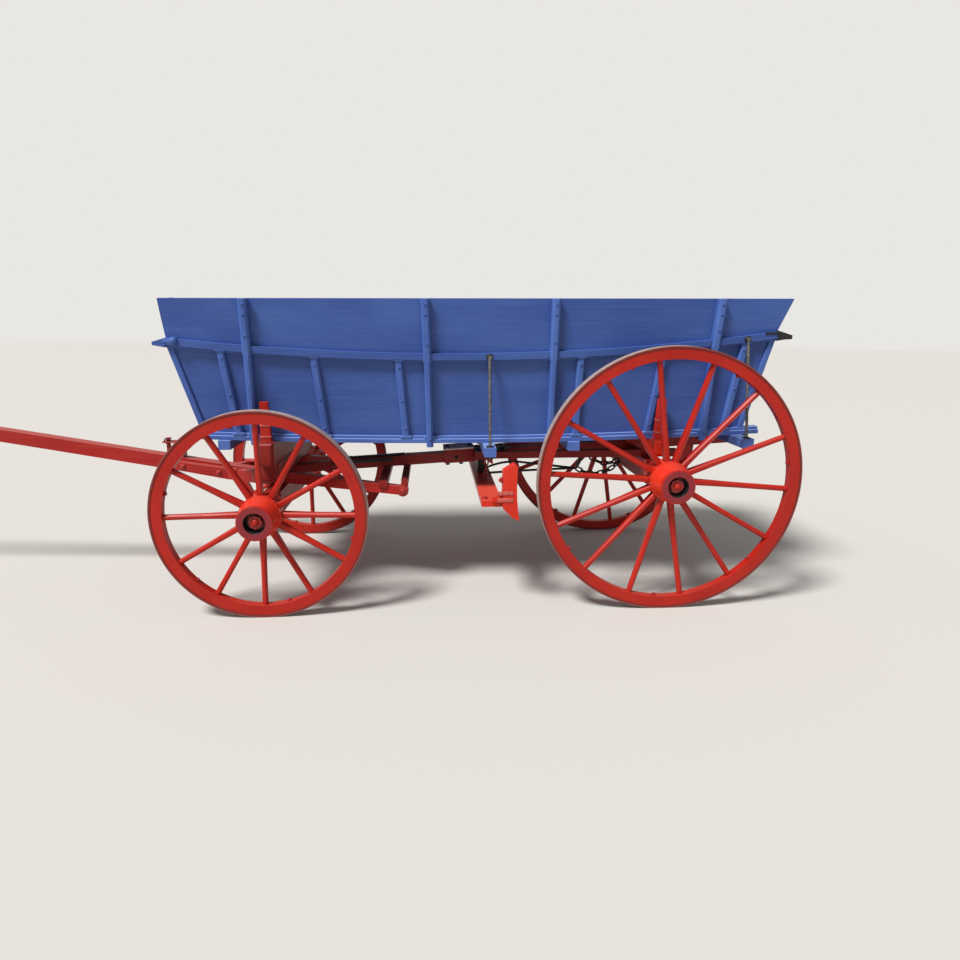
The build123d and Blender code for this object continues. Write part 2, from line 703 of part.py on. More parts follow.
def mid_rail():
    """Rail over the seam between the boards, chamfered below, with a pointed horn at each end."""
    outer = PANEL_THICKNESS + RAIL_PROUD
    x0 = fb(-SIDE_RAIL_AHEAD)
    x1 = rb(SIDE_RAIL_BEHIND)
    plain = on_side(strip(rail_bottom, 0, RAIL_HEIGHT, x0, x1), PANEL_THICKNESS, outer - RAIL_CHAMFER)
    face = on_side(strip(rail_bottom, RAIL_CHAMFER, RAIL_HEIGHT, x0, x1), outer - RAIL_CHAMFER, outer)
    front = horn(x0, -HORN_LENGTH)
    rear = horn(x1, HORN_LENGTH)
    return plain + face + front + rear + knob(x0)


def horn(x, reach):
    """Pointed end of the mid rail beyond the side."""
    foot = up(rail_bottom(x))
    top = up(rail_bottom(x) + RAIL_HEIGHT)
    tip = x + reach
    tip_low = foot + HORN_TIP_LOW * (top - foot)
    tip_high = foot + HORN_TIP_HIGH * (top - foot)
    face = outline([(x, foot), (tip, tip_low), (tip, tip_high), (x, top)])
    return on_side(face, PANEL_THICKNESS, PANEL_THICKNESS + RAIL_PROUD)


def side_point(x, z, outward):
    """Point beside the side plane, by its height above the ground and its distance outward."""
    return SIDE_PLANE.from_local_coords((x, up(z), outward))


def knob(edge_x):
    """Round cleat on the rail's front end: it swells from the horn back to a round end."""
    out = PANEL_THICKNESS + KNOB_RADIUS
    rear_x = edge_x + KNOB_BEHIND_EDGE
    tip_x = edge_x - HORN_LENGTH / 2
    tip = side_point(tip_x, rail_bottom(tip_x) + RAIL_HEIGHT / 2, PANEL_THICKNESS + RAIL_PROUD / 2)
    rear = side_point(rear_x, rail_bottom(rear_x) + KNOB_LIFT, out)
    middle = Plane(origin=(tip + rear) / 2, z_dir=rear - tip)
    stem = middle * Cone(KNOB_TIP_RADIUS, KNOB_RADIUS, (rear - tip).length)
    return stem + Pos(*rear) * Sphere(KNOB_RADIUS)


def slat(top, foot, top_width, foot_width, depth, chamfer_size):
    """Strip on the boards with chamfered outer edges, between two places (x, z)."""
    sections = []
    for (x, z), width in ((foot, foot_width), (top, top_width)):
        w = width / 2
        c = chamfer_size
        points = [(-w, 0), (w, 0), (w, depth - c), (w - c, depth), (c - w, depth), (-w, depth - c)]
        plane = Plane(origin=side_point(x, z, PANEL_THICKNESS), x_dir=(-1, 0, 0), z_dir=SIDE_PLANE.y_dir)
        sections.append(plane * outline(points))
    return loft(sections, ruled=True)


def standards(rail, sill_piece):
    """Long standards outside the boards, lapped over the rail and the sill, slimmer below the rail."""
    pieces = []
    for axle, top_x, foot_x in STANDARDS:
        top = (axle + top_x, top_edge(axle + top_x))
        foot = (axle + foot_x, sill_bottom(axle + foot_x) - STANDARD_TAIL)
        rail_x = axle + top_x + (foot_x - top_x) / 2
        middle = (rail_x, rail_bottom(rail_x))
        upper = slat(top, middle, STANDARD_WIDTH, STANDARD_WIDTH, STANDARD_DEPTH, STANDARD_CHAMFER)
        lower = slat(middle, foot, STANDARD_FOOT_WIDTH, STANDARD_FOOT_WIDTH, STANDARD_DEPTH, STANDARD_CHAMFER)
        pieces.append((lower - sill_piece + upper) - rail)
    return pieces


def ribs(rail, sill_piece):
    """Short ribs between the sill and the rail, and thin cleats along the panel's two ends."""
    pieces = []
    for axle, top_x, foot_x in RIBS:
        top = (axle + top_x, rail_bottom(axle + top_x) + RAIL_HEIGHT / 2)
        foot = (axle + foot_x, sill_bottom(axle + foot_x) + SILL_HEIGHT / 2)
        pieces.append(slat(top, foot, RIB_WIDTH, RIB_WIDTH, RIB_DEPTH, RIB_CHAMFER) - rail - sill_piece)
    w = EDGE_CLEAT_WIDTH / 2
    ends = [
        (fb(w - SIDE_RAIL_AHEAD), fb(w - SIDE_FOOT_AHEAD)),
        (rb(SIDE_RAIL_BEHIND - w), rb(SIDE_FOOT_BEHIND - w)),
    ]
    for top_x, foot_x in ends:
        top = (top_x, rail_bottom(top_x))
        foot = (foot_x, sill_bottom(foot_x) + SILL_HEIGHT)
        cleat = slat(top, foot, EDGE_CLEAT_WIDTH, EDGE_CLEAT_WIDTH, EDGE_CLEAT_DEPTH, EDGE_CLEAT_CHAMFER)
        pieces.append(cleat - rail - sill_piece)
    return pieces


def bed_prism(foot_gap, top_gap, z0, z1):
    """Space between the sides, less a gap each side, over the whole length."""
    foot = inner_half(z0) - foot_gap
    head = inner_half(z1) - top_gap
    points = [(-foot, z0), (foot, z0), (head, z1), (-head, z1)]
    x0 = fb(-SIDE_TOP_AHEAD - OVERSIZE)
    x1 = rb(SIDE_TOP_BEHIND + OVERSIZE)
    return Pos(x0, 0, 0) * extrude(Plane.YZ * outline(points), x1 - x0)


def bed_arc(x0, x1, lift):
    """Arc along the underside of the sills, or a height above it."""
    places = [x0, (x0 + x1) / 2, x1]
    return ThreePointArc(*[(x, sill_bottom(x) + lift) for x in places])


def above_bed():
    """All that is higher than the underside of the sills."""
    x0 = fb(-SIDE_FOOT_AHEAD - OVERSIZE)
    x1 = rb(SIDE_FOOT_BEHIND + SILL_TAIL + OVERSIZE)
    low = bed_arc(x0, x1, 0)
    face = make_face([low, Polyline(low @ 1, (x1, TOP_REAR_Z), (x0, TOP_REAR_Z), low @ 0)])
    return extrude(Plane.XZ * face, ROD_SILL_HALF + OVERSIZE, both=True)


def floor():
    x0 = fb(-FRONT_END_FOOT)
    x1 = rb(REAR_END_FOOT - FLOOR_END_GAP)
    low = bed_arc(x0, x1, 0)
    high = bed_arc(x0, x1, FLOOR_THICKNESS)
    face = make_face([low, Line(low @ 1, high @ 1), high, Line(high @ 0, low @ 0)])
    slab = extrude(Plane.XZ * face, BED_HALF + OVERSIZE, both=True)
    return slab & bed_prism(0, 0, SILL_LOW_Z - OVERSIZE, SILL_REAR_Z + OVERSIZE)


def cross_sills(above, rods):
    pieces = []
    for x, half in [(x, ROD_SILL_HALF) for x in ROD_SILLS] + [(x, SHORT_SILL_HALF) for x in SHORT_SILLS]:
        w = CROSS_SILL_WIDTH / 2
        top = sill_bottom(x)
        piece = bar(x - w, x + w, -half, half, top - CROSS_SILL_HEIGHT, top + OVERSIZE)
        pieces.append(piece - above - rods)
    return pieces


def tie_rods(rail):
    """Iron rods from the mid rail down into the long cross sills."""
    pieces = []
    for x in ROD_SILLS:
        top_z = rail_bottom(x) + RAIL_HEIGHT / 2
        foot_z = sill_bottom(x)
        top_y = outer_half(top_z, PANEL_THICKNESS + RAIL_PROUD) + ROD_RADIUS
        foot_y = ROD_SILL_HALF - ROD_INSET
        length = hypot(top_z - foot_z, top_y - foot_y)
        direction = (0, -(top_y - foot_y), top_z - foot_z)
        below = CROSS_SILL_HEIGHT + ROD_TAIL
        line = Plane(origin=(x, -foot_y, foot_z), z_dir=direction)
        rod = line.offset(-below) * extrude(Circle(ROD_RADIUS), length + below)
        face_y = outer_half(top_z, PANEL_THICKNESS + RAIL_PROUD)
        ring = extrude(Circle(ROD_EYE_RADIUS), 2 * ROD_RADIUS)
        eye = Pos(x, -face_y, top_z) * Rot(90 + SIDE_FLARE, 0, 0) * ring
        one = rod + eye - rail
        pieces += [one, mirror(one, Plane.XZ)]
    return pieces


# Raked ends
def end_plane(foot_x, outward, rake):
    lean = radians(rake)
    return Plane(
        origin=(foot_x, 0, sill_bottom(foot_x)),
        x_dir=(0, outward, 0),
        z_dir=(outward * cos(lean), 0, -sin(lean)),
    )


FRONT_END = end_plane(fb(-FRONT_END_FOOT), -1, FRONT_END_RAKE)
REAR_END = end_plane(rb(REAR_END_FOOT), 1, REAR_END_RAKE)


def on_end(plane, rake, z0, z1, half, inner, outer):
    """Board across an end, between two heights above the ground."""
    foot = (z0 - plane.origin.Z) / cos(radians(rake))
    top = (z1 - plane.origin.Z) / cos(radians(rake))
    face = outline([(-half, foot), (half, foot), (half, top), (-half, top)])
    return plane.offset(inner) * extrude(face, outer - inner)


def end_pieces(plane, rake, margin, top_margin, lap):
    """Lower board, upper board and frame of a raked end. The upper board laps over the lower
    one and rests on the battens, or stands over it behind a rail where the lap is nothing."""
    base = plane.origin.Z
    low = base - OVERSIZE
    seam = rail_bottom(plane.origin.X) + RAIL_HEIGHT / 2
    top = top_edge(plane.origin.X)
    room = bed_prism(margin, top_margin, base + margin, top)
    wide = BED_HALF + 2 * OVERSIZE
    deep = END_THICKNESS
    face = deep + END_RAIL_PROUD
    lower = on_end(plane, rake, low, seam, wide, 0, deep) & room
    frame = on_end(plane, rake, low, base + margin + END_RAIL_HEIGHT, wide, deep, face) & room
    if lap:
        upper = on_end(plane, rake, seam - lap, top + OVERSIZE, wide, deep, deep + END_THICKNESS) & room
        batten_top = seam - lap
    else:
        upper = on_end(plane, rake, seam, top + OVERSIZE, wide, 0, deep) & room
        rail_z = seam - RAIL_HEIGHT / 2
        frame += on_end(plane, rake, rail_z, rail_z + END_RAIL_HEIGHT, wide, deep, face) & room
        batten_top = top + OVERSIZE
    return lower, upper, frame + [piece & room for piece in battens(plane, rake, low, batten_top)]


def battens(plane, rake, z0, z1):
    """Upright battens on an end, leaning with the sides."""
    pieces = []
    base = plane.origin.Z
    w = END_BATTEN_WIDTH / 2
    foot = (z0 - base) / cos(radians(rake))
    top = (z1 - base) / cos(radians(rake))
    for side in (-1, 0, 1):
        foot_y = side * (inner_half(z0) - END_BATTEN_FROM_SIDE)
        top_y = side * (inner_half(z1) - END_BATTEN_FROM_SIDE)
        face = outline([(foot_y - w, foot), (foot_y + w, foot), (top_y + w, top), (top_y - w, top)])
        pieces.append(plane.offset(END_THICKNESS) * extrude(face, END_BATTEN_DEPTH))
    return pieces


# The tail gate drops on two hinges: leaves on its foot rail, pins in lugs on the rear cross sill
HINGE_OUT = END_THICKNESS + END_RAIL_PROUD + HINGE_STANDOFF


def hinge_barrel(radius, length):
    """Round bar along the near hinge's axis."""
    return REAR_END * Pos(-HINGE_FROM_MIDDLE, HINGE_UP, HINGE_OUT) * Rot(0, 90, 0) * Cylinder(radius, length)


def gate_hinge():
    face = END_THICKNESS + END_RAIL_PROUD
    leaf_top = END_RAIL_HEIGHT + GATE_GAP
    w = HINGE_LEAF_WIDTH / 2
    y = -HINGE_FROM_MIDDLE
    leaf = REAR_END * bar(y - w, y + w, HINGE_UP, leaf_top, face, face + HINGE_LEAF_THICKNESS)
    knuckle = hinge_barrel(HINGE_KNUCKLE_RADIUS, HINGE_LEAF_WIDTH)
    bore = hinge_barrel(HINGE_PIN_RADIUS + HINGE_PIN_FIT, 2 * HINGE_LEAF_WIDTH)
    return leaf + knuckle - bore


def gate_hinge_pin():
    """Pin with the two lugs that hold it on the rear face of the cross sill."""
    span = HINGE_LEAF_WIDTH / 2 + HINGE_END_PLAY
    outer = span + HINGE_LUG_WIDTH
    pieces = hinge_barrel(HINGE_PIN_RADIUS, 2 * outer)
    axis = REAR_END.from_local_coords((-HINGE_FROM_MIDDLE, HINGE_UP, HINGE_OUT))
    r = HINGE_LUG_RADIUS
    for side in (-1, 1):
        y0, y1 = sorted((axis.Y + side * span, axis.Y + side * outer))
        sill_face = REAR_CROSS_SILL_X + CROSS_SILL_WIDTH / 2
        pieces += bar(sill_face, axis.X, y0, y1, axis.Z - r, axis.Z + r)
        pieces += Pos(axis.X, (y0 + y1) / 2, axis.Z) * Rot(90, 0, 0) * Cylinder(r, y1 - y0)
    return pieces


def stake(axle_x, foot_z, top_z):
    """Near stake standing on a bolster, leaning with the side."""
    proud = PANEL_THICKNESS + SILL_PROUD + STAKE_GAP
    foot_y = -(outer_half(foot_z, proud) + STAKE_DEEP / 2)
    top_y = -(outer_half(top_z, proud) + STAKE_TIP_DEEP / 2)
    stations = [
        ((axle_x, foot_y, foot_z), STAKE_WIDE, STAKE_DEEP),
        ((axle_x, top_y, top_z), STAKE_TIP_WIDE, STAKE_TIP_DEEP),
    ]
    return tapered((1, 0, 0), (0, 0, 1), stations)


def bolster(axle_x, bottom, above):
    w = BOLSTER_WIDTH / 2
    top = max(sill_bottom(axle_x - w), sill_bottom(axle_x + w))
    return eased_ends(bar(axle_x - w, axle_x + w, -BOLSTER_HALF, BOLSTER_HALF, bottom, top)) - above


def reach():
    x0 = fb(-REACH_AHEAD)
    x1 = rb(REACH_BEHIND)
    w = REACH_WIDTH / 2
    taper_x = x0 + REACH_TAPER
    places = [(x0, reach_bottom), (x1, reach_bottom), (x1, reach_top), (taper_x, reach_top), (x0, reach_top)]
    face = Plane.XZ * outline([(x, height(x)) for x, height in places])
    return extrude(face, w, both=True)


def rear_hound():
    """Near rear hound, from the reach back over the axle."""
    z = REAR_AXLE_TOP + REAR_HOUND_THICKNESS / 2
    front_x = rb(-REAR_HOUND_AHEAD)
    front_z = reach_top(front_x) - REAR_HOUND_THICKNESS / 2
    near_reach = REACH_WIDTH / 2 + REAR_HOUND_WIDTH / 2
    w = AXLE_WIDTH / 2
    stations = [
        ((front_x, -near_reach, front_z), REAR_HOUND_WIDTH, REAR_HOUND_THICKNESS),
        ((rb(-w), -REAR_HOUND_SPREAD, z), REAR_HOUND_WIDTH, REAR_HOUND_THICKNESS),
        ((rb(w), -REAR_HOUND_SPREAD, z), REAR_HOUND_WIDTH, REAR_HOUND_THICKNESS),
        ((rb(REAR_HOUND_BEHIND), -REAR_HOUND_SPREAD, z), REAR_HOUND_WIDTH, REAR_HOUND_THICKNESS),
    ]
    return tapered((0, 1, 0), (1, 0, 0), stations)


def hound_plate():
    """Iron plate over the joint of the rear hounds and the reach."""
    x0 = rb(-REAR_HOUND_AHEAD)
    x1 = x0 + HOUND_PLATE_LENGTH
    w = HOUND_PLATE_WIDTH / 2
    t = HOUND_PLATE_THICKNESS
    face = Plane.XZ * outline(
        [
            (x0, reach_top(x0)), (x1, reach_top(x1)), (x1, reach_top(x1) + t), (x0, reach_top(x0) + t),
        ]
    )
    return extrude(face, w, both=True)


def brake_beam():
    x = rb(-BRAKE_AHEAD)
    w = BRAKE_BEAM_WIDE / 2
    top = BRAKE_BEAM_Z + BRAKE_BEAM_HEIGHT
    return bar(x - w, x + w, -BRAKE_BEAM_HALF, BRAKE_BEAM_HALF, BRAKE_BEAM_Z, top)


def brake_shoe():
    """Near shoe: a block with a hollow rear face, tied to the top of the beam."""
    y1 = -(TRACK / 2 - SHOE_WIDTH / 2)
    middle = y1 - SHOE_WIDTH / 2
    points = [(rb(-REAR_RADIUS - ahead), REAR_CENTRE_Z + height) for ahead, height in SHOE_OUTLINE]
    (foot_x, foot_z), (top_x, top_z) = points[0], points[-1]
    face_x = (foot_x + top_x) / 2
    hollow = ThreePointArc(points[-1], (face_x - SHOE_HOLLOW, (foot_z + top_z) / 2), points[0])
    block = Pos(0, y1, 0) * extrude(Plane.XZ * make_face([Polyline(*points), hollow]), SHOE_WIDTH)
    beam_top = BRAKE_BEAM_Z + BRAKE_BEAM_HEIGHT
    w = SHOE_TIE_WIDE / 2
    tie = bar(rb(-BRAKE_AHEAD), face_x - w, middle - w, middle + w, beam_top, beam_top + SHOE_TIE_HEIGHT)
    return block + tie


def brake_hanger(pole):
    """Iron hanger between the reach and the brake beam."""
    x = rb(-BRAKE_AHEAD)
    w = BRAKE_HANGER_WIDTH / 2
    top = reach_bottom(x) + REACH_HEIGHT / 2
    return bar(x - w, x + w, -w, w, BRAKE_BEAM_Z + BRAKE_BEAM_HEIGHT, top) - pole


def king_pin():
    """Pin with a head on the bolster, down through sand board and axle."""
    bottom = FRONT_AXLE_TOP - AXLE_HEIGHT - KING_PIN_TAIL
    top = sill_bottom(FRONT_AXLE_X) - KING_HEAD_HEIGHT - KING_HEAD_GAP
    shaft = Pos(FRONT_AXLE_X, 0, (bottom + top) / 2) * Cylinder(KING_PIN_RADIUS, top - bottom)
    head = Pos(FRONT_AXLE_X, 0, top + KING_HEAD_HEIGHT / 2) * Cylinder(KING_HEAD_RADIUS, KING_HEAD_HEIGHT)
    return shaft + head


def all_parts():
    """Every node of the wagon by name."""
    parts = {}

    # Each pair of wheels: name, place and height of the axle, radius, spokes, turn of the first spoke
    pairs = [
        ("front", FRONT_AXLE_X, FRONT_CENTRE_Z, FRONT_RADIUS, FRONT_SPOKES, 0),
        ("rear", REAR_AXLE_X, REAR_CENTRE_Z, REAR_RADIUS, REAR_SPOKES, REAR_SPOKE_TURN),
    ]
    for end, axle_x, centre_z, radius, count, first in pairs:
        for side_name, side in [("left", -1), ("right", 1)]:
            name = end + "_" + side_name
            place = wheel_plane(axle_x, side, centre_z)
            turn = -side * first
            parts["hub_" + name] = place * hub(count, turn)
            parts["spoked_rim_" + name] = place * spoked_rim(radius, count, turn)
            parts["tyre_" + name] = place * tyre(radius)

    pole = reach()
    above = above_bed()
    pin = king_pin()

    # Front gear
    arms = axle_arms(FRONT_AXLE_X, FRONT_CENTRE_Z)
    parts["front_axle_arms"] = arms
    parts["front_axle"] = axle_beam(FRONT_AXLE_X, FRONT_CENTRE_Z, arms) - king_hole()
    parts["sand_board"] = sand_board()
    bars = slider_bars()
    shaft = tongue()
    parts["front_hounds"] = both_sides(front_hound() - bars - parts["front_axle"])
    parts["slider_bar"] = Compound(children=bars)
    parts["tongue"] = shaft - parts["front_axle"]
    parts["tongue_irons"] = tongue_irons(shaft)

    # Running gear that stays with the box
    parts["king_pin"] = pin
    parts["front_bolster"] = bolster(FRONT_AXLE_X, SAND_BOARD_TOP + TURN_GAP, above) - pin
    parts["reach"] = pole - king_hole()
    arms = axle_arms(REAR_AXLE_X, REAR_CENTRE_Z)
    parts["rear_axle_arms"] = arms
    parts["rear_axle"] = axle_beam(REAR_AXLE_X, REAR_CENTRE_Z, arms) - pole
    rear_hounds = both_sides(rear_hound() - pole)
    parts["rear_hounds"] = rear_hounds
    parts["hound_plate"] = hound_plate() - rear_hounds
    parts["rear_bolster"] = bolster(REAR_AXLE_X, REAR_BOLSTER_BOTTOM, above) - pole - rear_hounds
    beam = brake_beam()
    parts["brake_beam"] = beam
    parts["brake_shoes"] = both_sides(brake_shoe() - beam)
    parts["brake_hanger"] = brake_hanger(pole)
    front_foot = SAND_BOARD_TOP + TURN_GAP + STAKE_HEEL
    rear_foot = REAR_BOLSTER_BOTTOM + STAKE_HEEL
    front_top = sill_bottom(FRONT_AXLE_X) + FRONT_STAKE_RISE
    rear_top = sill_bottom(REAR_AXLE_X) + REAR_STAKE_RISE
    parts["front_stakes"] = both_sides(stake(FRONT_AXLE_X, front_foot, front_top))
    parts["rear_stakes"] = both_sides(stake(REAR_AXLE_X, rear_foot, rear_top))
    parts["front_bolster"] = parts["front_bolster"] - parts["front_stakes"]
    parts["rear_bolster"] = parts["rear_bolster"] - parts["rear_stakes"]

    # Box
    parts["floor"] = floor()
    rail = mid_rail()
    sill_piece = sill(above)
    rods = tie_rods(rail)
    parts["cross_sills"] = Compound(children=cross_sills(above, rods))
    left = {
        "sill": [sill_piece],
        "lower_panel": [lower_panel(sill_piece)],
        "mid_rail": [rail],
        "upper_board": [upper_board()],
        "standards": standards(rail, sill_piece),
        "ribs": ribs(rail, sill_piece),
    }
    for name, pieces in left.items():
        parts[name + "_left"] = Compound(children=pieces)
        parts[name + "_right"] = Compound(children=[mirror(piece, Plane.XZ) for piece in pieces])
    parts["tie_rods"] = Compound(children=rods)
    # Each end: name, plane, rake, gap to the sides at the floor and at the top, lap of its boards
    ends = [
        ("front_end", FRONT_END, FRONT_END_RAKE, 0, 0, FRONT_LAP),
        ("tail_gate", REAR_END, REAR_END_RAKE, GATE_GAP, GATE_TOP_GAP, 0),
    ]
    for name, plane, rake, gap, top_gap, lap in ends:
        lower, upper, frame = end_pieces(plane, rake, gap, top_gap, lap)
        parts[name + "_lower"] = lower
        parts[name + "_upper"] = upper
        parts[name + "_frame"] = frame
    parts["gate_hinges"] = both_sides(gate_hinge())
    parts["gate_hinge_pins"] = both_sides(gate_hinge_pin())
    return parts


os.makedirs("parts", exist_ok=True)
for node, shape in all_parts().items():
    export_step(shape, "parts/" + node + ".step")
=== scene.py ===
import json
from math import cos, pi, radians, sin, tan

import bmesh
import bpy
from mathutils import Matrix, Vector


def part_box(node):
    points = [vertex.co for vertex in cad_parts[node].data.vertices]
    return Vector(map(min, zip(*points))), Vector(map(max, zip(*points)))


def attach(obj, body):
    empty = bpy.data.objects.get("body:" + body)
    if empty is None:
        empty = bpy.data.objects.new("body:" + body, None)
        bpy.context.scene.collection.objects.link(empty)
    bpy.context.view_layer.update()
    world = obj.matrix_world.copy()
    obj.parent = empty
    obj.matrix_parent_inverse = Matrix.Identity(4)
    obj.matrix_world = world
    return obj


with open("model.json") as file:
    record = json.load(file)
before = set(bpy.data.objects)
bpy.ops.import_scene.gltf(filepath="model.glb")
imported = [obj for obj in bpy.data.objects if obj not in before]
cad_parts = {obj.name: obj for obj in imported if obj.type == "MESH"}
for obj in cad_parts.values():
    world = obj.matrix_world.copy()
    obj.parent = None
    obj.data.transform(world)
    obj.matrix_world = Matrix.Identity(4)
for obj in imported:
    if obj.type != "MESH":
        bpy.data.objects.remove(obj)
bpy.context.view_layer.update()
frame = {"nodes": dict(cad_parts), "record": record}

# Farm wagon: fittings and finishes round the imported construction. Metres, Z up, ground at
# z = 0, front towards -X, near side at -Y. Each fitting is modelled once, near the origin, and
# copied to its places.
MM = 0.001
SIDES = (("left", -1), ("right", 1))
WHEELS = ("front_left", "front_right", "rear_left", "rear_right")

# Each pair of wheels: place of the axle along the wagon, height of the centre, radius of the tyre
FRONT_X = 0.233
REAR_X = 2.291
FRONT_WHEEL = (FRONT_X, 0.5273, 0.5275)
REAR_WHEEL = (REAR_X, 0.6858, 0.686)


# Small helpers for the materials
def hex_colour(text):
    """sRGB hex as linear RGBA."""
    values = [int(text[i:i + 2], 16) / 255 for i in (1, 3, 5)]
    linear = [v / 12.92 if v <= 0.04045 else ((v + 0.055) / 1.055) ** 2.4 for v in values]
    return (*linear, 1.0)


def add_node(tree, kind, inputs=None, **settings):
    """One shader node: settings are its properties, inputs are values or sockets to link."""
    new = tree.nodes.new(kind)
    for key, value in settings.items():
        setattr(new, key, value)
    for key, value in (inputs or {}).items():
        if isinstance(value, bpy.types.NodeSocket):
            tree.links.new(value, new.inputs[key])
        else:
            new.inputs[key].default_value = value
    return new


def empty_material(name):
    """New material with an output node, and its node tree."""
    material = bpy.data.materials.new(name)
    material.use_nodes = True
    tree = material.node_tree
    tree.nodes.clear()
    return material, tree


def stretched_noise(tree, along, across, axis, detail=3.0):
    """Noise whose grain runs along one axis, with its sizes in millimetres."""
    sizes = [across, across, across]
    sizes["XYZ".index(axis)] = along
    scale = [1 / (size * MM) for size in sizes]
    coordinates = add_node(tree, "ShaderNodeTexCoord")
    place = add_node(tree, "ShaderNodeMapping", {"Vector": coordinates.outputs["Object"], "Scale": scale})
    inputs = {"Vector": place.outputs["Vector"], "Scale": 1.0, "Detail": detail}
    return add_node(tree, "ShaderNodeTexNoise", inputs).outputs["Fac"]


def ramp(tree, value, low, high, from_low=0.0, to_high=1.0):
    """Smooth change from one number to another as a value goes from low to high."""
    step = add_node(
        tree, "ShaderNodeMapRange",
        {"Value": value, "From Min": low, "From Max": high, "To Min": from_low, "To Max": to_high},
        interpolation_type="SMOOTHSTEP",
    )
    return step.outputs["Result"]


def mixed(tree, share, first, second):
    """Colour that goes from the first to the second with the share."""
    return add_node(tree, "ShaderNodeMix", {0: share, 6: first, 7: second}, data_type="RGBA").outputs[2]


def combined(tree, operation, first, second=0.0):
    """Result of one operation on numbers or sockets."""
    return add_node(tree, "ShaderNodeMath", {0: first, 1: second}, operation=operation).outputs[0]


EDGE_ROUND = 1.6 * MM


def rounded_normal(tree):
    """Normal with every arris eased."""
    return add_node(tree, "ShaderNodeBevel", {"Radius": EDGE_ROUND}, samples=4).outputs["Normal"]


def edge_share(tree, rounded):
    """Where an edge is near: 0 on a flat face, 1 on a sharp arris."""
    face = add_node(tree, "ShaderNodeNewGeometry")
    inputs = {0: rounded, 1: face.outputs["True Normal"]}
    dot = add_node(tree, "ShaderNodeVectorMath", inputs, operation="DOT_PRODUCT")
    return ramp(tree, dot.outputs["Value"], 0.995, 0.85)


def bumped(tree, height, strength, distance, normal):
    """Normal that follows a height, with its distance in millimetres."""
    inputs = {"Height": height, "Strength": strength, "Distance": distance * MM, "Normal": normal}
    return add_node(tree, "ShaderNodeBump", inputs).outputs["Normal"]


def surface(tree, colour, roughness, normal, **fixed):
    """Principled shader on the output, with fixed sockets set on the node itself."""
    inputs = {"Base Color": colour, "Roughness": roughness, "Normal": normal}
    inputs.update({key.replace("_", " "): value for key, value in fixed.items()})
    shader = add_node(tree, "ShaderNodeBsdfPrincipled", inputs)
    out = add_node(tree, "ShaderNodeOutputMaterial")
    tree.links.new(shader.outputs[0], out.inputs["Surface"])


def object_axis(tree, axis, output="Object"):
    """One component of a texture coordinate."""
    coordinates = add_node(tree, "ShaderNodeTexCoord")
    parts = add_node(tree, "ShaderNodeSeparateXYZ", {0: coordinates.outputs[output]})
    return parts.outputs[axis]


# Oil paint brushed on planed hardwood: a smooth satin coat with long, faint brush marks, slow
# patches of fading and paler, rubbed arrises; what faces up drifts to the pale arris colour,
# partly as a dusting and partly as a painted highlight. On a hub, the flat end of the nose has
# a colour of its own.
BRUSH_MARK = 1.6
BRUSH_STROKE = 220.0
GRAIN_PITCH = 7.0
FADE_PATCH = 460.0
HUB_NOSE = 0.826


def brushed_oil_paint(
    name, shade, faded, arris, axis="X", gloss=0.42, wear=0.5, dust_and_highlight=0.12, stroke=BRUSH_STROKE, nose=None
):
    material, tree = empty_material(name)
    rounded = rounded_normal(tree)
    edge = edge_share(tree, rounded)
    brush = stretched_noise(tree, stroke, BRUSH_MARK, axis, 2.0)
    grain = stretched_noise(tree, stroke * 1.2, GRAIN_PITCH, axis, 4.0)
    patch = stretched_noise(tree, FADE_PATCH, FADE_PATCH * 0.5, axis, 4.0)
    coat = mixed(tree, ramp(tree, patch, 0.34, 0.68), hex_colour(shade), hex_colour(faded))
    coat = mixed(tree, ramp(tree, grain, 0.35, 0.75, 0.0, 0.07), coat, hex_colour(arris))
    # Upward faces take the pale arris colour: partly a dusting, partly a painted highlight from above
    top = ramp(tree, object_axis(tree, "Z", "Normal"), 0.8, 0.98, 0.0, dust_and_highlight)
    coat = mixed(tree, top, coat, hex_colour(arris))
    chip = stretched_noise(tree, 26.0, 9.0, axis, 5.0)
    worn = combined(tree, "MULTIPLY", edge, ramp(tree, chip, 0.44, 0.62, 0.12, wear))
    coat = mixed(tree, worn, coat, hex_colour(arris))
    if nose:
        far_out = combined(tree, "ABSOLUTE", object_axis(tree, "Y"))
        faces_out = combined(tree, "ABSOLUTE", object_axis(tree, "Y", "Normal"))
        at_end = ramp(tree, far_out, HUB_NOSE - 3 * MM, HUB_NOSE)
        on_nose = combined(tree, "MULTIPLY", at_end, ramp(tree, faces_out, 0.7, 0.9))
        coat = mixed(tree, on_nose, coat, hex_colour(nose))
    rough = ramp(tree, brush, 0.3, 0.7, gloss - 0.05, gloss + 0.09)
    height = combined(tree, "ADD", brush, combined(tree, "MULTIPLY", grain, 1.4))
    surface(tree, coat, rough, bumped(tree, height, 0.3, 0.22, rounded), IOR=1.5, Specular_IOR_Level=0.28)
    return material


# Floor of narrow boards: the same paint with a dark open joint between each two boards, and
# scuffed by loads.
PLANK = 144.0
JOINT = 3.0


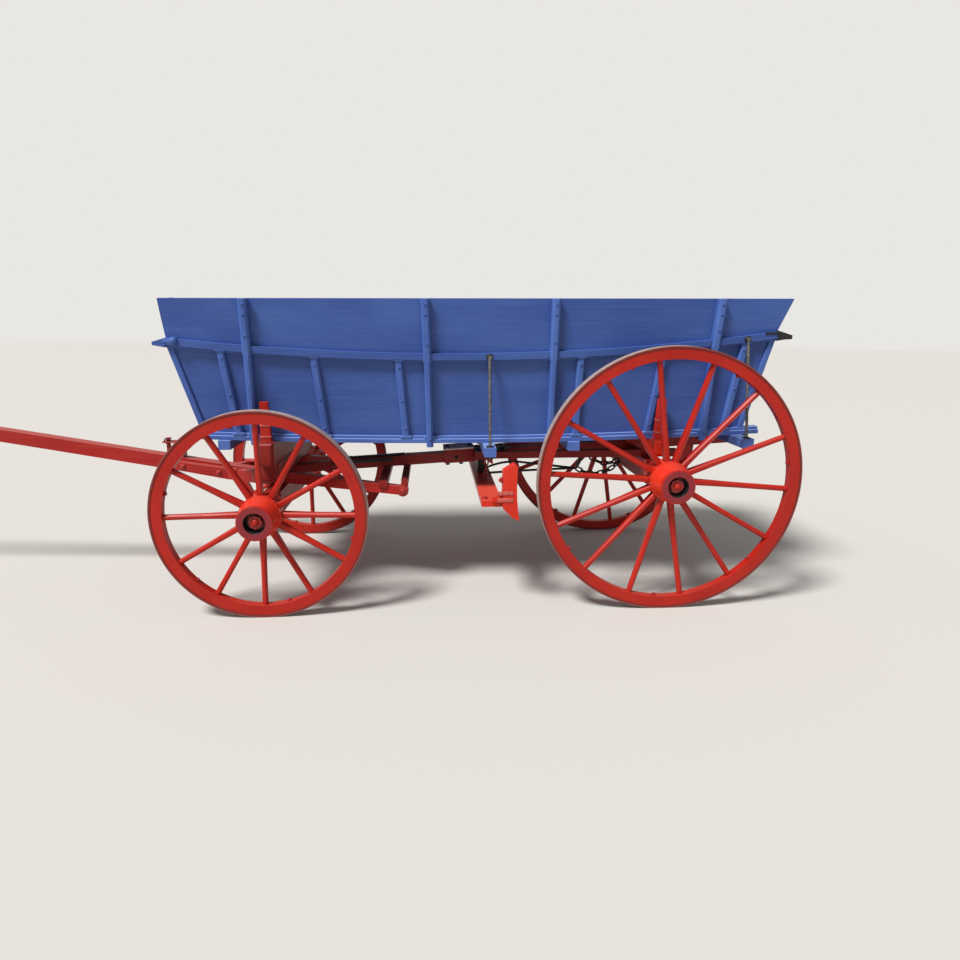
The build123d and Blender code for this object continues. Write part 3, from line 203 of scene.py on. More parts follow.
def painted_floor_boards(name, shade, faded, bare, joint):
    material, tree = empty_material(name)
    across = combined(tree, "DIVIDE", object_axis(tree, "Y"), PLANK * MM)
    share = combined(tree, "FRACT", across)
    off_middle = combined(tree, "ABSOLUTE", combined(tree, "SUBTRACT", share, 0.5))
    open_joint = ramp(tree, off_middle, 0.5 - JOINT / PLANK, 0.5 - 0.4 * JOINT / PLANK)
    grain = stretched_noise(tree, BRUSH_STROKE, GRAIN_PITCH, "X", 5.0)
    scuff = stretched_noise(tree, 420.0, 26.0, "X", 6.0)
    coat = mixed(tree, ramp(tree, grain, 0.3, 0.7), hex_colour(shade), hex_colour(faded))
    coat = mixed(tree, ramp(tree, scuff, 0.42, 0.8, 0.0, 0.3), coat, hex_colour(bare))
    coat = mixed(tree, open_joint, coat, hex_colour(joint))
    wood = combined(tree, "MULTIPLY", grain, 0.3)
    height = combined(tree, "SUBTRACT", wood, combined(tree, "MULTIPLY", open_joint, 4.0))
    normal = bumped(tree, height, 0.6, 0.8, rounded_normal(tree))
    surface(tree, coat, ramp(tree, scuff, 0.3, 0.7, 0.5, 0.68), normal, IOR=1.5)
    return material


# Rolled iron tyre: the tread is ground iron dusted by the road, its pale, pink-tinged colours
# also a painted reflection of the sky; its two sides carry dark, worn red paint that thins
# towards the tread, and a thin dark seam runs where the iron meets the felloe.
TYRE_THICK = 12 * MM
SEAM = 2.4 * MM
TREAD_IRON_AND_REFLECTION = ("#84736E", "#A39390")
ROAD_DUST_AND_REFLECTION = "#B09C94"
TYRE_PAINT = "#7E241A"
SEAM_COLOUR = "#3A1210"


def road_worn_tyre(name, centre_x, centre_z, radius):
    material, tree = empty_material(name)
    along = combined(tree, "SUBTRACT", object_axis(tree, "X"), centre_x)
    above = combined(tree, "SUBTRACT", object_axis(tree, "Z"), centre_z)
    squares = combined(tree, "ADD", combined(tree, "POWER", along, 2.0), combined(tree, "POWER", above, 2.0))
    distance = combined(tree, "SQRT", squares)
    scale = stretched_noise(tree, 7.0, 7.0, "X", 5.0)
    smear = stretched_noise(tree, 70.0, 30.0, "Y", 4.0)
    # Tread: ground iron dusted by the road, lightened and tinted pink as a painted reflection of the sky
    iron = mixed(tree, ramp(tree, scale, 0.35, 0.7), *map(hex_colour, TREAD_IRON_AND_REFLECTION))
    tread = mixed(tree, ramp(tree, smear, 0.3, 0.72, 0.2, 0.8), iron, hex_colour(ROAD_DUST_AND_REFLECTION))
    side = combined(tree, "ABSOLUTE", object_axis(tree, "Y", "Normal"))
    rubbed = ramp(tree, distance, radius - 4 * MM, radius - 0.5 * MM, 1.0, 0.35)
    red_share = combined(tree, "MULTIPLY", ramp(tree, side, 0.5, 0.8), rubbed)
    coat = mixed(tree, red_share, tread, hex_colour(TYRE_PAINT))
    inner = radius - TYRE_THICK
    dark = ramp(tree, distance, inner + 0.8 * SEAM, inner + 0.3 * SEAM, 0.0, 0.85)
    coat = mixed(tree, dark, coat, hex_colour(SEAM_COLOUR))
    normal = bumped(tree, scale, 0.4, 0.4, rounded_normal(tree))
    surface(tree, coat, ramp(tree, scale, 0.3, 0.7, 0.48, 0.68), normal, Metallic=0.15)
    return material


# Forged iron: dull and slightly hammered under thin paint or scale, with rust in its pits.
def hammered_iron(name, dark, light, rust_colour, rust_share=0.12, gloss=0.42, metal=0.3):
    material, tree = empty_material(name)
    rounded = rounded_normal(tree)
    edge = edge_share(tree, rounded)
    hammer = stretched_noise(tree, 14.0, 14.0, "X", 2.0)
    pit = stretched_noise(tree, 3.0, 3.0, "X", 3.0)
    paint = mixed(tree, ramp(tree, hammer, 0.35, 0.7), hex_colour(dark), hex_colour(light))
    rust = combined(tree, "MULTIPLY", ramp(tree, pit, 0.5, 0.66), combined(tree, "ADD", edge, rust_share))
    coat = mixed(tree, rust, paint, hex_colour(rust_colour))
    height = combined(tree, "ADD", hammer, combined(tree, "MULTIPLY", pit, 0.3))
    rough = ramp(tree, pit, 0.3, 0.7, gloss, gloss + 0.18)
    surface(tree, coat, rough, bumped(tree, height, 0.6, 0.8, rounded), Metallic=metal)
    return material


# Colours of each paint: fresh, faded and rubbed on the arrises. Some are lit or shaded copies of one paint,
# with painted light or shade in their colour.
BLUE = ("#334D90", "#3D5A9B", "#8698CC")
# The blue paint made lighter as painted sunlight, where the sills' tops catch the light
BLUE_PAINTED_SUNLIT = ("#4461A6", "#4E6DB2", "#9DB0DC")
# The blue paint made a little lighter as painted light on the uprights' lit chamfers
BLUE_PAINTED_HALF_LIT = ("#3C589E", "#4766AA", "#93A6D6")
RED = ("#A0160A", "#AC1D0D", "#D0604A")
# Its pink arris colour, laid on the upward faces of tongue and hounds, is also a painted reflection of the
# sky
DEEP_RED_WITH_PAINTED_SHEEN = ("#98150F", "#A41D15", "#CC8278")
# Lit copy of the red paint: brighter as painted sunlight on hubs, rear bolster and stakes, brake beam and
# shoes
RED_PAINTED_SUNLIT = ("#C4240F", "#CE2E16", "#E0705A")
# Red paint darkened as painted shade, for running gear that sits in the shade under the box
RED_PAINTED_SHADE = ("#7C1813", "#8A1F18", "#AE5244")
BLUE_BOARDS = brushed_oil_paint("brushed_blue_oil_paint_on_boards", *BLUE, dust_and_highlight=0.45)
BLUE_RAILS = brushed_oil_paint("brushed_blue_oil_paint_on_rails", *BLUE, wear=0.12, dust_and_highlight=0.0)
BLUE_SILLS = brushed_oil_paint("brushed_pale_blue_oil_paint_on_sills", *BLUE_PAINTED_SUNLIT, dust_and_highlight=0.5)
BLUE_CROSS_SILLS = brushed_oil_paint(
    "brushed_pale_blue_oil_paint_on_cross_sills", *BLUE_PAINTED_SUNLIT, axis="Y", dust_and_highlight=0.5
)
BLUE_UPRIGHTS = brushed_oil_paint("brushed_blue_oil_paint_on_uprights", *BLUE_PAINTED_HALF_LIT, axis="Z")
BLUE_CROSSWISE = brushed_oil_paint("brushed_blue_oil_paint_on_cross_boards", *BLUE, axis="Y", dust_and_highlight=0.3)
BLUE_IRON = brushed_oil_paint("blue_oil_paint_on_bolt_heads", *BLUE, axis="Z", stroke=20.0, wear=0.9)
FLOOR_BOARDS = painted_floor_boards("scuffed_blue_floor_boards", "#3A5292", "#4A63A4", "#8C8A86", "#14182A")
RED_LENGTHWISE = brushed_oil_paint("brushed_red_oil_paint_on_poles", *DEEP_RED_WITH_PAINTED_SHEEN, gloss=0.36, dust_and_highlight=0.24)
RED_CROSSWISE = brushed_oil_paint(
    "brushed_red_oil_paint_on_beams", *RED_PAINTED_SUNLIT, axis="Y", gloss=0.36, dust_and_highlight=0.3
)
RED_STAKES = brushed_oil_paint("brushed_red_oil_paint_on_front_stakes", *RED, axis="Z", gloss=0.36)
RED_UPRIGHTS = brushed_oil_paint("brushed_red_oil_paint_on_uprights", *RED_PAINTED_SUNLIT, axis="Z", gloss=0.36)
RED_WHEELS = brushed_oil_paint(
    "brushed_red_oil_paint_on_turned_wood", *RED, axis="Y", gloss=0.33, stroke=36.0
)
HUB_RED = brushed_oil_paint(
    "brushed_red_oil_paint_on_hubs", *RED_PAINTED_SUNLIT, axis="Y", gloss=0.33, stroke=36.0, nose="#84282E"
)
MAROON_LENGTHWISE = brushed_oil_paint("weathered_red_oil_paint_on_poles", *RED_PAINTED_SHADE, gloss=0.45)
MAROON_CROSSWISE = brushed_oil_paint("weathered_red_oil_paint_on_beams", *RED_PAINTED_SHADE, axis="Y", gloss=0.45)
RED_IRON = hammered_iron(
    "red_oil_paint_on_forged_iron", "#941C14", "#A8281C", "#4C2A20", gloss=0.34, metal=0.0
)
PALE_RED_IRON = hammered_iron("worn_red_oil_paint_on_stake_clips", "#B8483E", "#C4645C", "#5A3A30", metal=0.0)
BLACK_IRON = hammered_iron("black_painted_forged_iron", "#1B1A1C", "#2C2A2B", "#5A3A2A")
ROD_IRON = hammered_iron("rubbed_grey_iron_rods", "#4E4C49", "#7C7973", "#5E4638", gloss=0.38, metal=0.4)
# Iron plate made pale as painted sunlight, for a plate that lies in the box's shade
GREY_IRON_PAINTED_LIT = hammered_iron("bare_grey_iron_plate", "#C9C4BB", "#DAD5CC", "#8A6A56", gloss=0.56, metal=0.0)
FRONT_TYRE = road_worn_tyre("rolled_iron_front_tyre", *FRONT_WHEEL)
REAR_TYRE = road_worn_tyre("rolled_iron_rear_tyre", *REAR_WHEEL)

# Construction nodes of each finish, by the start of their names: the first that fits is used
FINISHES = [
    (HUB_RED, "hub_"), (RED_WHEELS, "spoked_rim_"), (FRONT_TYRE, "tyre_front"), (REAR_TYRE, "tyre_rear"),
    (RED_IRON, "front_axle_arms rear_axle_arms tongue_irons"), (RED_LENGTHWISE, "front_hounds tongue"),
    (MAROON_CROSSWISE, "front_axle rear_axle sand_board slider_bar front_bolster"),
    (MAROON_LENGTHWISE, "reach rear_hounds"), (RED_CROSSWISE, "rear_bolster brake_beam"),
    (RED_STAKES, "front_stakes"), (RED_UPRIGHTS, "rear_stakes brake_shoes"), (ROD_IRON, "tie_rods"),
    (BLACK_IRON, "king_pin hound_plate brake_hanger gate_hinge"), (BLUE_UPRIGHTS, "standards_ ribs_"),
    (BLUE_CROSSWISE, "front_end_ tail_gate_"), (BLUE_CROSS_SILLS, "cross_sills"), (BLUE_SILLS, "sill_"),
    (BLUE_BOARDS, "lower_panel_ upper_board_"), (BLUE_RAILS, "mid_rail_"), (FLOOR_BOARDS, "floor"),
]


def finish_for(name):
    return next(material for material, starts in FINISHES if name.startswith(tuple(starts.split())))


for name, node in frame["nodes"].items():
    node.data.materials.clear()
    node.data.materials.append(finish_for(name))


# Modelling helpers
MASTERS = []


def new_object(name, data):
    """Object in the scene, the only one selected."""
    made = bpy.data.objects.new(name, data)
    bpy.context.scene.collection.objects.link(made)
    bpy.ops.object.select_all(action="DESELECT")
    bpy.context.view_layer.objects.active = made
    made.select_set(True)
    return made


def select_by(test, kind="faces"):
    """In edit mode, select just the faces or vertices whose place passes a test."""
    data = bpy.context.object.data
    bpy.ops.mesh.select_all(action="DESELECT")
    bpy.ops.mesh.select_mode(type="FACE" if kind == "faces" else "VERT")
    mesh = bmesh.from_edit_mesh(data)
    for item in getattr(mesh, kind):
        item.select_set(test(item.calc_center_median(), item.normal) if kind == "faces" else test(item.co))
    mesh.select_flush_mode()
    bmesh.update_edit_mesh(data)


def begin_block(size, centre=(0, 0, 0)):
    """Cube at its size and place in millimetres, open for editing."""
    bpy.ops.mesh.primitive_cube_add(size=1, location=Vector(centre) * MM, scale=Vector(size) * MM)
    bpy.ops.object.transform_apply()
    bpy.ops.object.mode_set(mode="EDIT")


def finished():
    """Leave edit mode with sound normals, and keep the object as a master."""
    bpy.ops.mesh.select_all(action="SELECT")
    bpy.ops.mesh.normals_make_consistent(inside=False)
    bpy.ops.object.mode_set(mode="OBJECT")
    MASTERS.append(bpy.context.object)
    return bpy.context.object


def block(size, centre=(0, 0, 0), ease=1.2):
    """Squared piece with eased edges, in millimetres."""
    begin_block(size, centre)
    bpy.ops.mesh.select_all(action="SELECT")
    bpy.ops.mesh.bevel(offset=ease * MM, segments=2, affect="EDGES")
    return finished()


def spun(profile, steps=24):
    """Solid turned about Z from a profile of radius and height in millimetres."""
    data = bpy.data.meshes.new("turned")
    points = [(radius * MM, 0, height * MM) for radius, height in profile]
    data.from_pydata(points, [(i, i + 1) for i in range(len(points) - 1)], [])
    new_object("turned", data)
    bpy.ops.object.mode_set(mode="EDIT")
    bpy.ops.mesh.select_all(action="SELECT")
    bpy.ops.mesh.spin(steps=steps, angle=2 * pi, center=(0, 0, 0), axis=(0, 0, 1))
    bpy.ops.mesh.select_all(action="SELECT")
    bpy.ops.mesh.remove_doubles(threshold=0.00001)
    return finished()


def modified(piece, kind, **settings):
    """Apply one modifier to a piece."""
    bpy.context.view_layer.objects.active = piece
    modifier = piece.modifiers.new(kind.lower(), kind)
    for key, value in settings.items():
        setattr(modifier, key, value)
    bpy.ops.object.modifier_apply(modifier=modifier.name)


def rod(points, radius):
    """Round iron bar along a line, with bends rounded as a smith bends them."""
    data = bpy.data.curves.new("rod", "CURVE")
    data.dimensions = "3D"
    data.bevel_depth = radius
    data.bevel_resolution = 3
    data.resolution_u = 6
    data.use_fill_caps = True
    line = data.splines.new("NURBS")
    line.points.add(len(points) - 1)
    for point, place in zip(line.points, points):
        point.co = (*place, 1)
    line.order_u = 3
    line.use_endpoint_u = True
    new_object("rod", data)
    bpy.ops.object.convert(target="MESH")
    MASTERS.append(bpy.context.object)
    return bpy.context.object


def together(*pieces):
    """Several masters as one."""
    bpy.ops.object.select_all(action="DESELECT")
    for piece in pieces:
        piece.select_set(True)
    bpy.context.view_layer.objects.active = pieces[0]
    bpy.ops.object.join()
    for piece in pieces[1:]:
        MASTERS.remove(piece)
    return pieces[0]


def at(x, y, z):
    """Place by its coordinates."""
    return Matrix.Translation((x, y, z))


def facing(place, outward, up=(0, 0, 1)):
    """Matrix that stands a master's Z along a direction, with its Y as near as may be to another."""
    z = Vector(outward).normalized()
    x = Vector(up).cross(z)
    if x.length < 1e-4:
        x = Vector((1, 0, 0))
    x.normalize()
    y = z.cross(x)
    turn = Matrix((x, y, z)).transposed().to_4x4()
    return Matrix.Translation(place) @ turn


def both(places):
    """The places and their mirror images on the far side."""
    flip = Matrix.Scale(-1, 4, (0, 1, 0))
    return list(places) + [flip @ place for place in places]


def seat(nodes, start, direction):
    """Place where a line first meets some construction nodes, with its Z out of the face."""
    hits = []
    for name in nodes:
        found, place, normal, _ = frame["nodes"][name].ray_cast(Vector(start), Vector(direction))
        if found:
            hits.append(((place - Vector(start)).length, place.copy(), normal.copy()))
    if not hits:
        raise ValueError("nothing to sit on: " + nodes[0] + " from " + str(start))
    return facing(*min(hits, key=lambda hit: hit[0])[1:])


def set_out(master, places, name, material, body="wagon_body"):
    """Copies of a master at each place, as one piece that rides on a body."""
    group = bmesh.new()
    for place in places:
        copy = master.data.copy()
        copy.transform(place)
        if place.determinant() < 0:
            copy.flip_normals()
        group.from_mesh(copy)
        bpy.data.meshes.remove(copy)
    mesh = bpy.data.meshes.new(name)
    group.to_mesh(mesh)
    group.free()
    mesh.materials.clear()
    mesh.materials.append(material)
    piece = new_object(name, mesh)
    bpy.ops.object.shade_smooth_by_angle(angle=radians(38))
    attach(piece, body)


# Lines of the box, from the construction's own sizes: circle arcs close to these parabolas
FLARE = radians(6)
BED_HALF = 0.432
BOX_MIDDLE = 1.333
BOX_HALF_LENGTH = 1.435
TOP_START = -0.249
TOP_FRONT = 1.58002
TOP_SLOPE = 0.00995
RAIL_HIGH = 46 * MM
SILL_HIGH = 40 * MM
PROUD = 50 * MM
# Undersides of sill and rail: heights at the front end, at the lowest point and at the rear end
SILL = (0.87602, 0.84999, 0.89297)
RAIL = (1.33402, 1.27899, 1.38397)


def follow(heights, x):
    """Height of a curve of the box at a place along it."""
    front, low, rear = heights
    share = (x - BOX_MIDDLE) / BOX_HALF_LENGTH
    return low + (rear - front) / 2 * share + ((rear + front) / 2 - low) * share * share


def top_edge(x):
    return TOP_FRONT + (x - TOP_START) * TOP_SLOPE


def side_y(z, proud=0.0):
    """Distance from the middle to something that stands proud of the side's inner face."""
    return BED_HALF + (z - SILL[1]) * tan(FLARE) + proud / cos(FLARE)


def on_side(x, z):
    """Place level with the uprights of the near side: X rearward, Y up the boards, Z outward."""
    turn = Matrix(((1, 0, 0), (0, -sin(FLARE), -cos(FLARE)), (0, cos(FLARE), -sin(FLARE)))).to_4x4()
    return at(x, -side_y(z, PROUD), z) @ turn


# Places well clear of the wagon, from which lines are cast at it to find a seat
CLEAR_SIDE = -1.4
CLEAR_FRONT = -1.4
CLEAR_REAR = 4.4
ABOVE_GEAR = 0.9

# Middle of each standard at the top and at the sill, and of each rib at the rail and at the sill
STANDARDS = [(0.161, 0.167), (1.047, 1.069), (1.708, 1.708), (2.569, 2.538)]
RIBS = [(0.029, 0.091), (0.485, 0.533), (0.909, 0.945), (1.853, 1.845), (2.293, 2.233), (2.723, 2.653)]


def standard_x(top_x, foot_x, z):
    middle = (top_x + foot_x) / 2
    rail = follow(RAIL, middle)
    if z > rail:
        return middle + (z - rail) / (top_edge(top_x) - rail) * (top_x - middle)
    foot = follow(SILL, foot_x)
    return foot_x + (z - foot) / (rail - foot) * (middle - foot_x)


def rib_x(top_x, foot_x, z):
    foot = follow(SILL, foot_x) + SILL_HIGH / 2
    rail = follow(RAIL, top_x) + RAIL_HIGH / 2
    return foot_x + (z - foot) / (rail - foot) * (top_x - foot_x)


# Bolts of a standard, from the top edge, the rail and the sill, and of a rib from sill and rail
BELOW_TOP = (0.034, 0.082)
ABOVE_RAIL = 0.086
ABOVE_SILL = 0.020
RIB_ABOVE_SILL = 0.075
RIB_BELOW_RAIL = 0.034
RIB_MIDDLE_BOLT = 0.46


def side_bolt_spots():
    """Where bolts pass through the near side: node, x and z."""
    spots = []
    for top_x, foot_x in STANDARDS:
        heights = [top_edge(top_x) - drop for drop in BELOW_TOP]
        heights += [follow(RAIL, top_x) + ABOVE_RAIL, follow(SILL, foot_x) + ABOVE_SILL]
        spots += [("standards_left", standard_x(top_x, foot_x, z), z) for z in heights]
    for top_x, foot_x in RIBS:
        low = follow(SILL, foot_x) + RIB_ABOVE_SILL
        high = follow(RAIL, top_x) - RIB_BELOW_RAIL
        heights = [low, low + RIB_MIDDLE_BOLT * (high - low), high]
        spots += [("ribs_left", rib_x(top_x, foot_x, z), z) for z in heights]
    return spots


def box_bolts():
    """Carriage bolts of the sides, with square nuts inside. The ends use the same two masters."""
    spots = side_bolt_spots()
    boards = ["lower_panel_left", "upper_board_left", "sill_left"]
    heads = [seat([node], (x, CLEAR_SIDE, z), (0, 1, 0)) for node, x, z in spots]
    nuts = [seat(boards, (x, 0, z), (0, -1, 0)) for _, x, z in spots]
    head = spun([(7, 0), (7, 0.8), (6.2, 2.4), (4.2, 3.8), (1.8, 4.4), (0, 4.5)], 16)
    set_out(head, both(heads), "side_bolt_heads", BLUE_IRON)
    nut = together(
        block((15, 15, 7), (0, 0, 5)),
        spun([(13, 0), (13, 1.4), (12, 2.2), (0, 2.2)], 20),
        spun([(4.5, 8), (4.5, 12), (3.6, 13), (0, 13)], 12),
    )
    set_out(nut, both(nuts), "side_bolt_nuts", BLUE_IRON)
    return nut, head


RAIL_CHAMFER = 12
SILL_CHAMFER = 14
STOP_LENGTH = 62
STOP_TAPER = 0.62
SILL_STOP_AT = 0.98


def chamfer_stops():
    """The chamfers of rail and sill stop short at each upright, where the corner is left square."""
    begin_block((STOP_LENGTH, RAIL_CHAMFER, RAIL_CHAMFER), (0, RAIL_CHAMFER / 2, -RAIL_CHAMFER / 2))
    bpy.ops.mesh.select_all(action="SELECT")
    corner = (0, RAIL_CHAMFER * MM, 0)
    bpy.ops.mesh.bisect(plane_co=corner, plane_no=(0, 1, -1), use_fill=True, clear_outer=True)
    select_by(lambda co: co.y < MM and co.z > -MM, "verts")
    bpy.ops.transform.resize(value=(STOP_TAPER, 1, 1), center_override=(0, 0, 0))
    stop = finished()
    deeper = SILL_CHAMFER / RAIL_CHAMFER
    upward = Matrix.Diagonal((1, -deeper, deeper, 1))
    rail_places = []
    sill_places = []
    for table, find_x in ((STANDARDS, standard_x), (RIBS, rib_x)):
        for top_x, foot_x in table:
            x = find_x(top_x, foot_x, follow(RAIL, (top_x + foot_x) / 2))
            rail_places.append(on_side(x, follow(RAIL, x)))
            x = find_x(top_x, foot_x, follow(SILL, foot_x) + SILL_HIGH)
            sill_places.append(on_side(x, follow(SILL, x) + SILL_HIGH * SILL_STOP_AT) @ upward)
    set_out(stop, both(rail_places), "rail_chamfer_stops", BLUE_RAILS)
    set_out(stop, both(sill_places), "sill_chamfer_stops", BLUE_SILLS)


# Long cross sills that take the tie rods
ROD_SILLS = (1.375, 2.723)
ROD_FOOT_Y = 0.614
CROSS_SILL_HIGH = 48 * MM


def tie_rod_fittings():
    """Each tie rod: plate and ring over the cross sill, nut below it, collar round the eye."""
    plate = together(
        block((40, 40, 4), (0, 0, 2)),
        spun([(7.4, 0), (11.5, 3.8), (11.5, 8), (9.6, 9.6), (7.4, 9.6)], 20),
    )
    below = together(
        block((44, 44, 4), (0, 0, -2)),
        block((26, 26, 12), (0, 0, -10), 1.6),
    )
    collar = spun(
        [(11.8, 0), (18, 0), (18, 1.8), (15.4, 3), (14.2, 5), (14.2, 12), (12.4, 15.4), (11.8, 15.4)], 28
    )
    tops = [at(x, -ROD_FOOT_Y, follow(SILL, x)) for x in ROD_SILLS]
    lows = [at(x, -ROD_FOOT_Y, follow(SILL, x) - CROSS_SILL_HIGH) for x in ROD_SILLS]
    eyes = [on_side(x, follow(RAIL, x) + RAIL_HIGH / 2) for x in ROD_SILLS]
    set_out(plate, both(tops), "tie_rod_plates", BLACK_IRON)
    set_out(below, both(lows), "tie_rod_nuts", BLACK_IRON)
    set_out(collar, both(eyes), "tie_rod_eye_collars", BLACK_IRON)


HORN_X = 2.884


def horn_irons():
    """Iron point round the rear horn of each mid rail, with a strap on top along the rail."""
    begin_block((80, 48, 37), (38, 24, -14))
    select_by(lambda co: co.x > 60 * MM, "verts")
    bpy.ops.transform.resize(value=(1, 0.42, 0.84), center_override=(0, 7 * MM, -14 * MM))
    bpy.ops.mesh.select_all(action="SELECT")
    bpy.ops.mesh.bevel(offset=2 * MM, segments=2, affect="EDGES")
    iron = together(finished(), block((74, 13, 4), (-34, 34, 2)))
    place = on_side(HORN_X, follow(RAIL, HORN_X))
    set_out(iron, both([place]), "rail_horn_irons", BLACK_IRON)


def band(length, width, height, thick=3):
    """Flat iron band round a beam that runs along X, with its sizes in millimetres."""
    begin_block((length, width, height))
    select_by(lambda co, normal: abs(normal.x) > 0.9)
    bpy.ops.mesh.delete(type="FACE")
    ring = finished()
    modified(ring, "SOLIDIFY", thickness=thick * MM, offset=1.0, use_even_offset=True)
    modified(ring, "BEVEL", width=0.9 * MM, segments=2)
    return ring


TONGUE_RISE = radians(9.9)
TONGUE_BUTT = 0.066
TONGUE_BUTT_Z = 0.56002
TONGUE_LENGTH = 3.25


def tongue_z(ahead):
    """Height of the tongue's middle line at a distance ahead of the front axle."""
    return TONGUE_BUTT_Z + (ahead - TONGUE_BUTT) * tan(TONGUE_RISE)


def on_tongue(ahead):
    """Place on the tongue's middle line, with X along it towards the butt."""
    place = at(FRONT_X - ahead, 0, tongue_z(ahead))
    return place @ Matrix.Rotation(TONGUE_RISE, 4, "Y")


def tongue_size(ahead):
    """Width and height of the tongue in millimetres, which taper from its butt to its tip."""
    share = (ahead - TONGUE_BUTT) / (TONGUE_LENGTH - TONGUE_BUTT)
    return 86 - 26 * share, 84 - 28 * share


REACH_SLOPE = 0.065523
REACH_FRONT_Z = 0.59552
REACH_HALF_HIGH = 30 * MM


def reach_bottom(x):
    return REACH_FRONT_Z + (x - FRONT_X) * REACH_SLOPE


def on_reach(x):
    """Place on the reach's middle line, with X along it to the rear."""
    z = reach_bottom(x) + REACH_HALF_HIGH
    return at(x, 0, z) @ Matrix.Rotation(-REACH_SLOPE, 4, "Y")


# Near front hound between the tongue and the axle: its start (distance ahead of the axle, y, z),
# its direction, and how far it goes outward and up for each metre back
HOUND_START = (0.330, -0.0679, 0.6063)
HOUND_RUN = (0.265, -0.1721, 0.0122)
HOUND_SLOPES = (0.6494, 0.0459)


def on_hound(ahead):
    """Place on the near hound's middle line, with X along it."""
    back = HOUND_START[0] - ahead
    y = HOUND_START[1] - back * HOUND_SLOPES[0]
    z = HOUND_START[2] + back * HOUND_SLOPES[1]
    along = Vector(HOUND_RUN).normalized()
    sideways = Vector((0, 0, 1)).cross(along).normalized()
    turn = Matrix((along, sideways, along.cross(sideways))).transposed().to_4x4()
    return at(FRONT_X - ahead, y, z) @ turn


# A pair of bands on each cross beam: beam, body, its place along the wagon, height and distance
# out from the middle in metres, then length, width, height and thickness in millimetres
BEAM_BANDS = [
    ("sand_board", "front_gear", FRONT_X, 0.6943, 0.455, (26, 90.6, 90.4, 2.4)),
    ("front_bolster", "wagon_body", FRONT_X, 0.8045, 0.5352, (20, 80.6, 126, 3)),
    ("rear_bolster", "wagon_body", REAR_X, 0.8290, 0.5352, (20, 80.6, 84, 3)),
    ("front_axle", "front_gear", FRONT_X, 0.52732, 0.462, (30, 95.6, 120.6, 4)),
    ("rear_axle", "wagon_body", REAR_X, 0.68577, 0.462, (30, 95.6, 120.6, 4)),
]
# The sand board's bands are flattened a little, close under the bolster
LET_IN = {"sand_board": 0.995}
# Bands on the tongue: distance ahead of the front axle, and length in millimetres
TONGUE_BANDS = [(2.98, 40), (3.225, 30)]
HOUND_BANDS_AHEAD = (0.27, 0.14)
REACH_BANDS_X = (2.43, 2.995)
BAND_FIT = 0.6


def gear_bands():
    for beam, body, x, z, out, sizes in BEAM_BANDS:
        ring = band(*sizes)
        turn = Matrix.Rotation(pi / 2, 4, "Z") @ Matrix.Diagonal((1, 1, LET_IN.get(beam, 1), 1))
        places = [at(x, side * out, z) @ turn for _, side in SIDES]
        set_out(ring, places, beam + "_bands", RED_IRON, body)
    for number, (ahead, length) in enumerate(TONGUE_BANDS):
        width, height = tongue_size(ahead)
        ring = band(length, width + BAND_FIT, height + BAND_FIT)
        set_out(ring, [on_tongue(ahead)], "tongue_band_" + str(number + 1), RED_IRON, "front_gear")
    ring = band(28, 45, 62.8)
    places = both([on_hound(ahead) for ahead in HOUND_BANDS_AHEAD])
    set_out(ring, places, "hound_bands", RED_IRON, "front_gear")
    ring = band(34, 76.6, 60.6)
    set_out(ring, [on_reach(x) for x in REACH_BANDS_X], "reach_bands", BLACK_IRON)


# Each stake: its place along the wagon, foot and top, and the heights of its two clips
STAKES = [(FRONT_X, 0.7648, 1.0748, (0.895, 0.953)), (REAR_X, 0.8108, 1.0900, (0.912, 0.975))]
STAKE_INNER = 52 * MM
# Its width and depth at foot and top, and the play of a clip, in millimetres
STAKE_FOOT = (58, 46)
STAKE_TIP = (40, 30)
CLIP_FIT = 0.8


def stake_clips():
    """Two forged clips round each stake of the box."""
    number = 0
    for x, foot_z, top_z, heights in STAKES:
        foot_y = side_y(foot_z, STAKE_INNER) + STAKE_FOOT[1] / 2 * MM
        top_y = side_y(top_z, STAKE_INNER) + STAKE_TIP[1] / 2 * MM
        lean = -(top_y - foot_y) / (top_z - foot_z)
        turn = Matrix(((0, 1, 0), (lean, 0, 1), (1, 0, -lean))).to_4x4()
        for z in heights:
            number += 1
            share = (z - foot_z) / (top_z - foot_z)
            y = -(foot_y + share * (top_y - foot_y))
            wide, deep = (foot + share * (tip - foot) for foot, tip in zip(STAKE_FOOT, STAKE_TIP))
            ring = band(11, wide + CLIP_FIT, deep + CLIP_FIT, 2)
            place = at(x, y, z) @ turn
            name = "stake_clips_" + str(number)
            set_out(ring, both([place]), name, PALE_RED_IRON)


# Bolts of the running gear, in metres: through the hounds and the tongue (ahead of the axle), at
# the hounds' tail (behind the axle, height), under each axle (out from the middle), in the sliders
# (behind the axle), behind the shoes (height) and on the brake beam (along the wagon)
HOUND_BOLTS = (0.38, 0.58)
HOUND_TAIL = (0.687, 0.5763)
AXLE_NUTS = [
    ("front_axle", FRONT_X, 0.2, (0.24, 0.38), "front_gear"),
    ("rear_axle", REAR_X, 0.3, (0.20, 0.33), "wagon_body"),
]
SLIDER_BOLTS = (0.581, 0.697)
SLIDER_BOLT_OUT = 0.33
SLIDER_BOLT_SPREAD = 0.3
SLIDER_BOLT_SIZE = 0.62
SHOE_BOLTS = (0.625, 0.700)
SHOE_MIDDLE = 0.711
BEAM_BOLTS = (1.348, 1.410)
BEAM_BOLT_OUT = 0.64
SHOE_STRAPS = (0.604, 0.640)
SHOE_STRAP_PLACE = (1.442, -0.743)


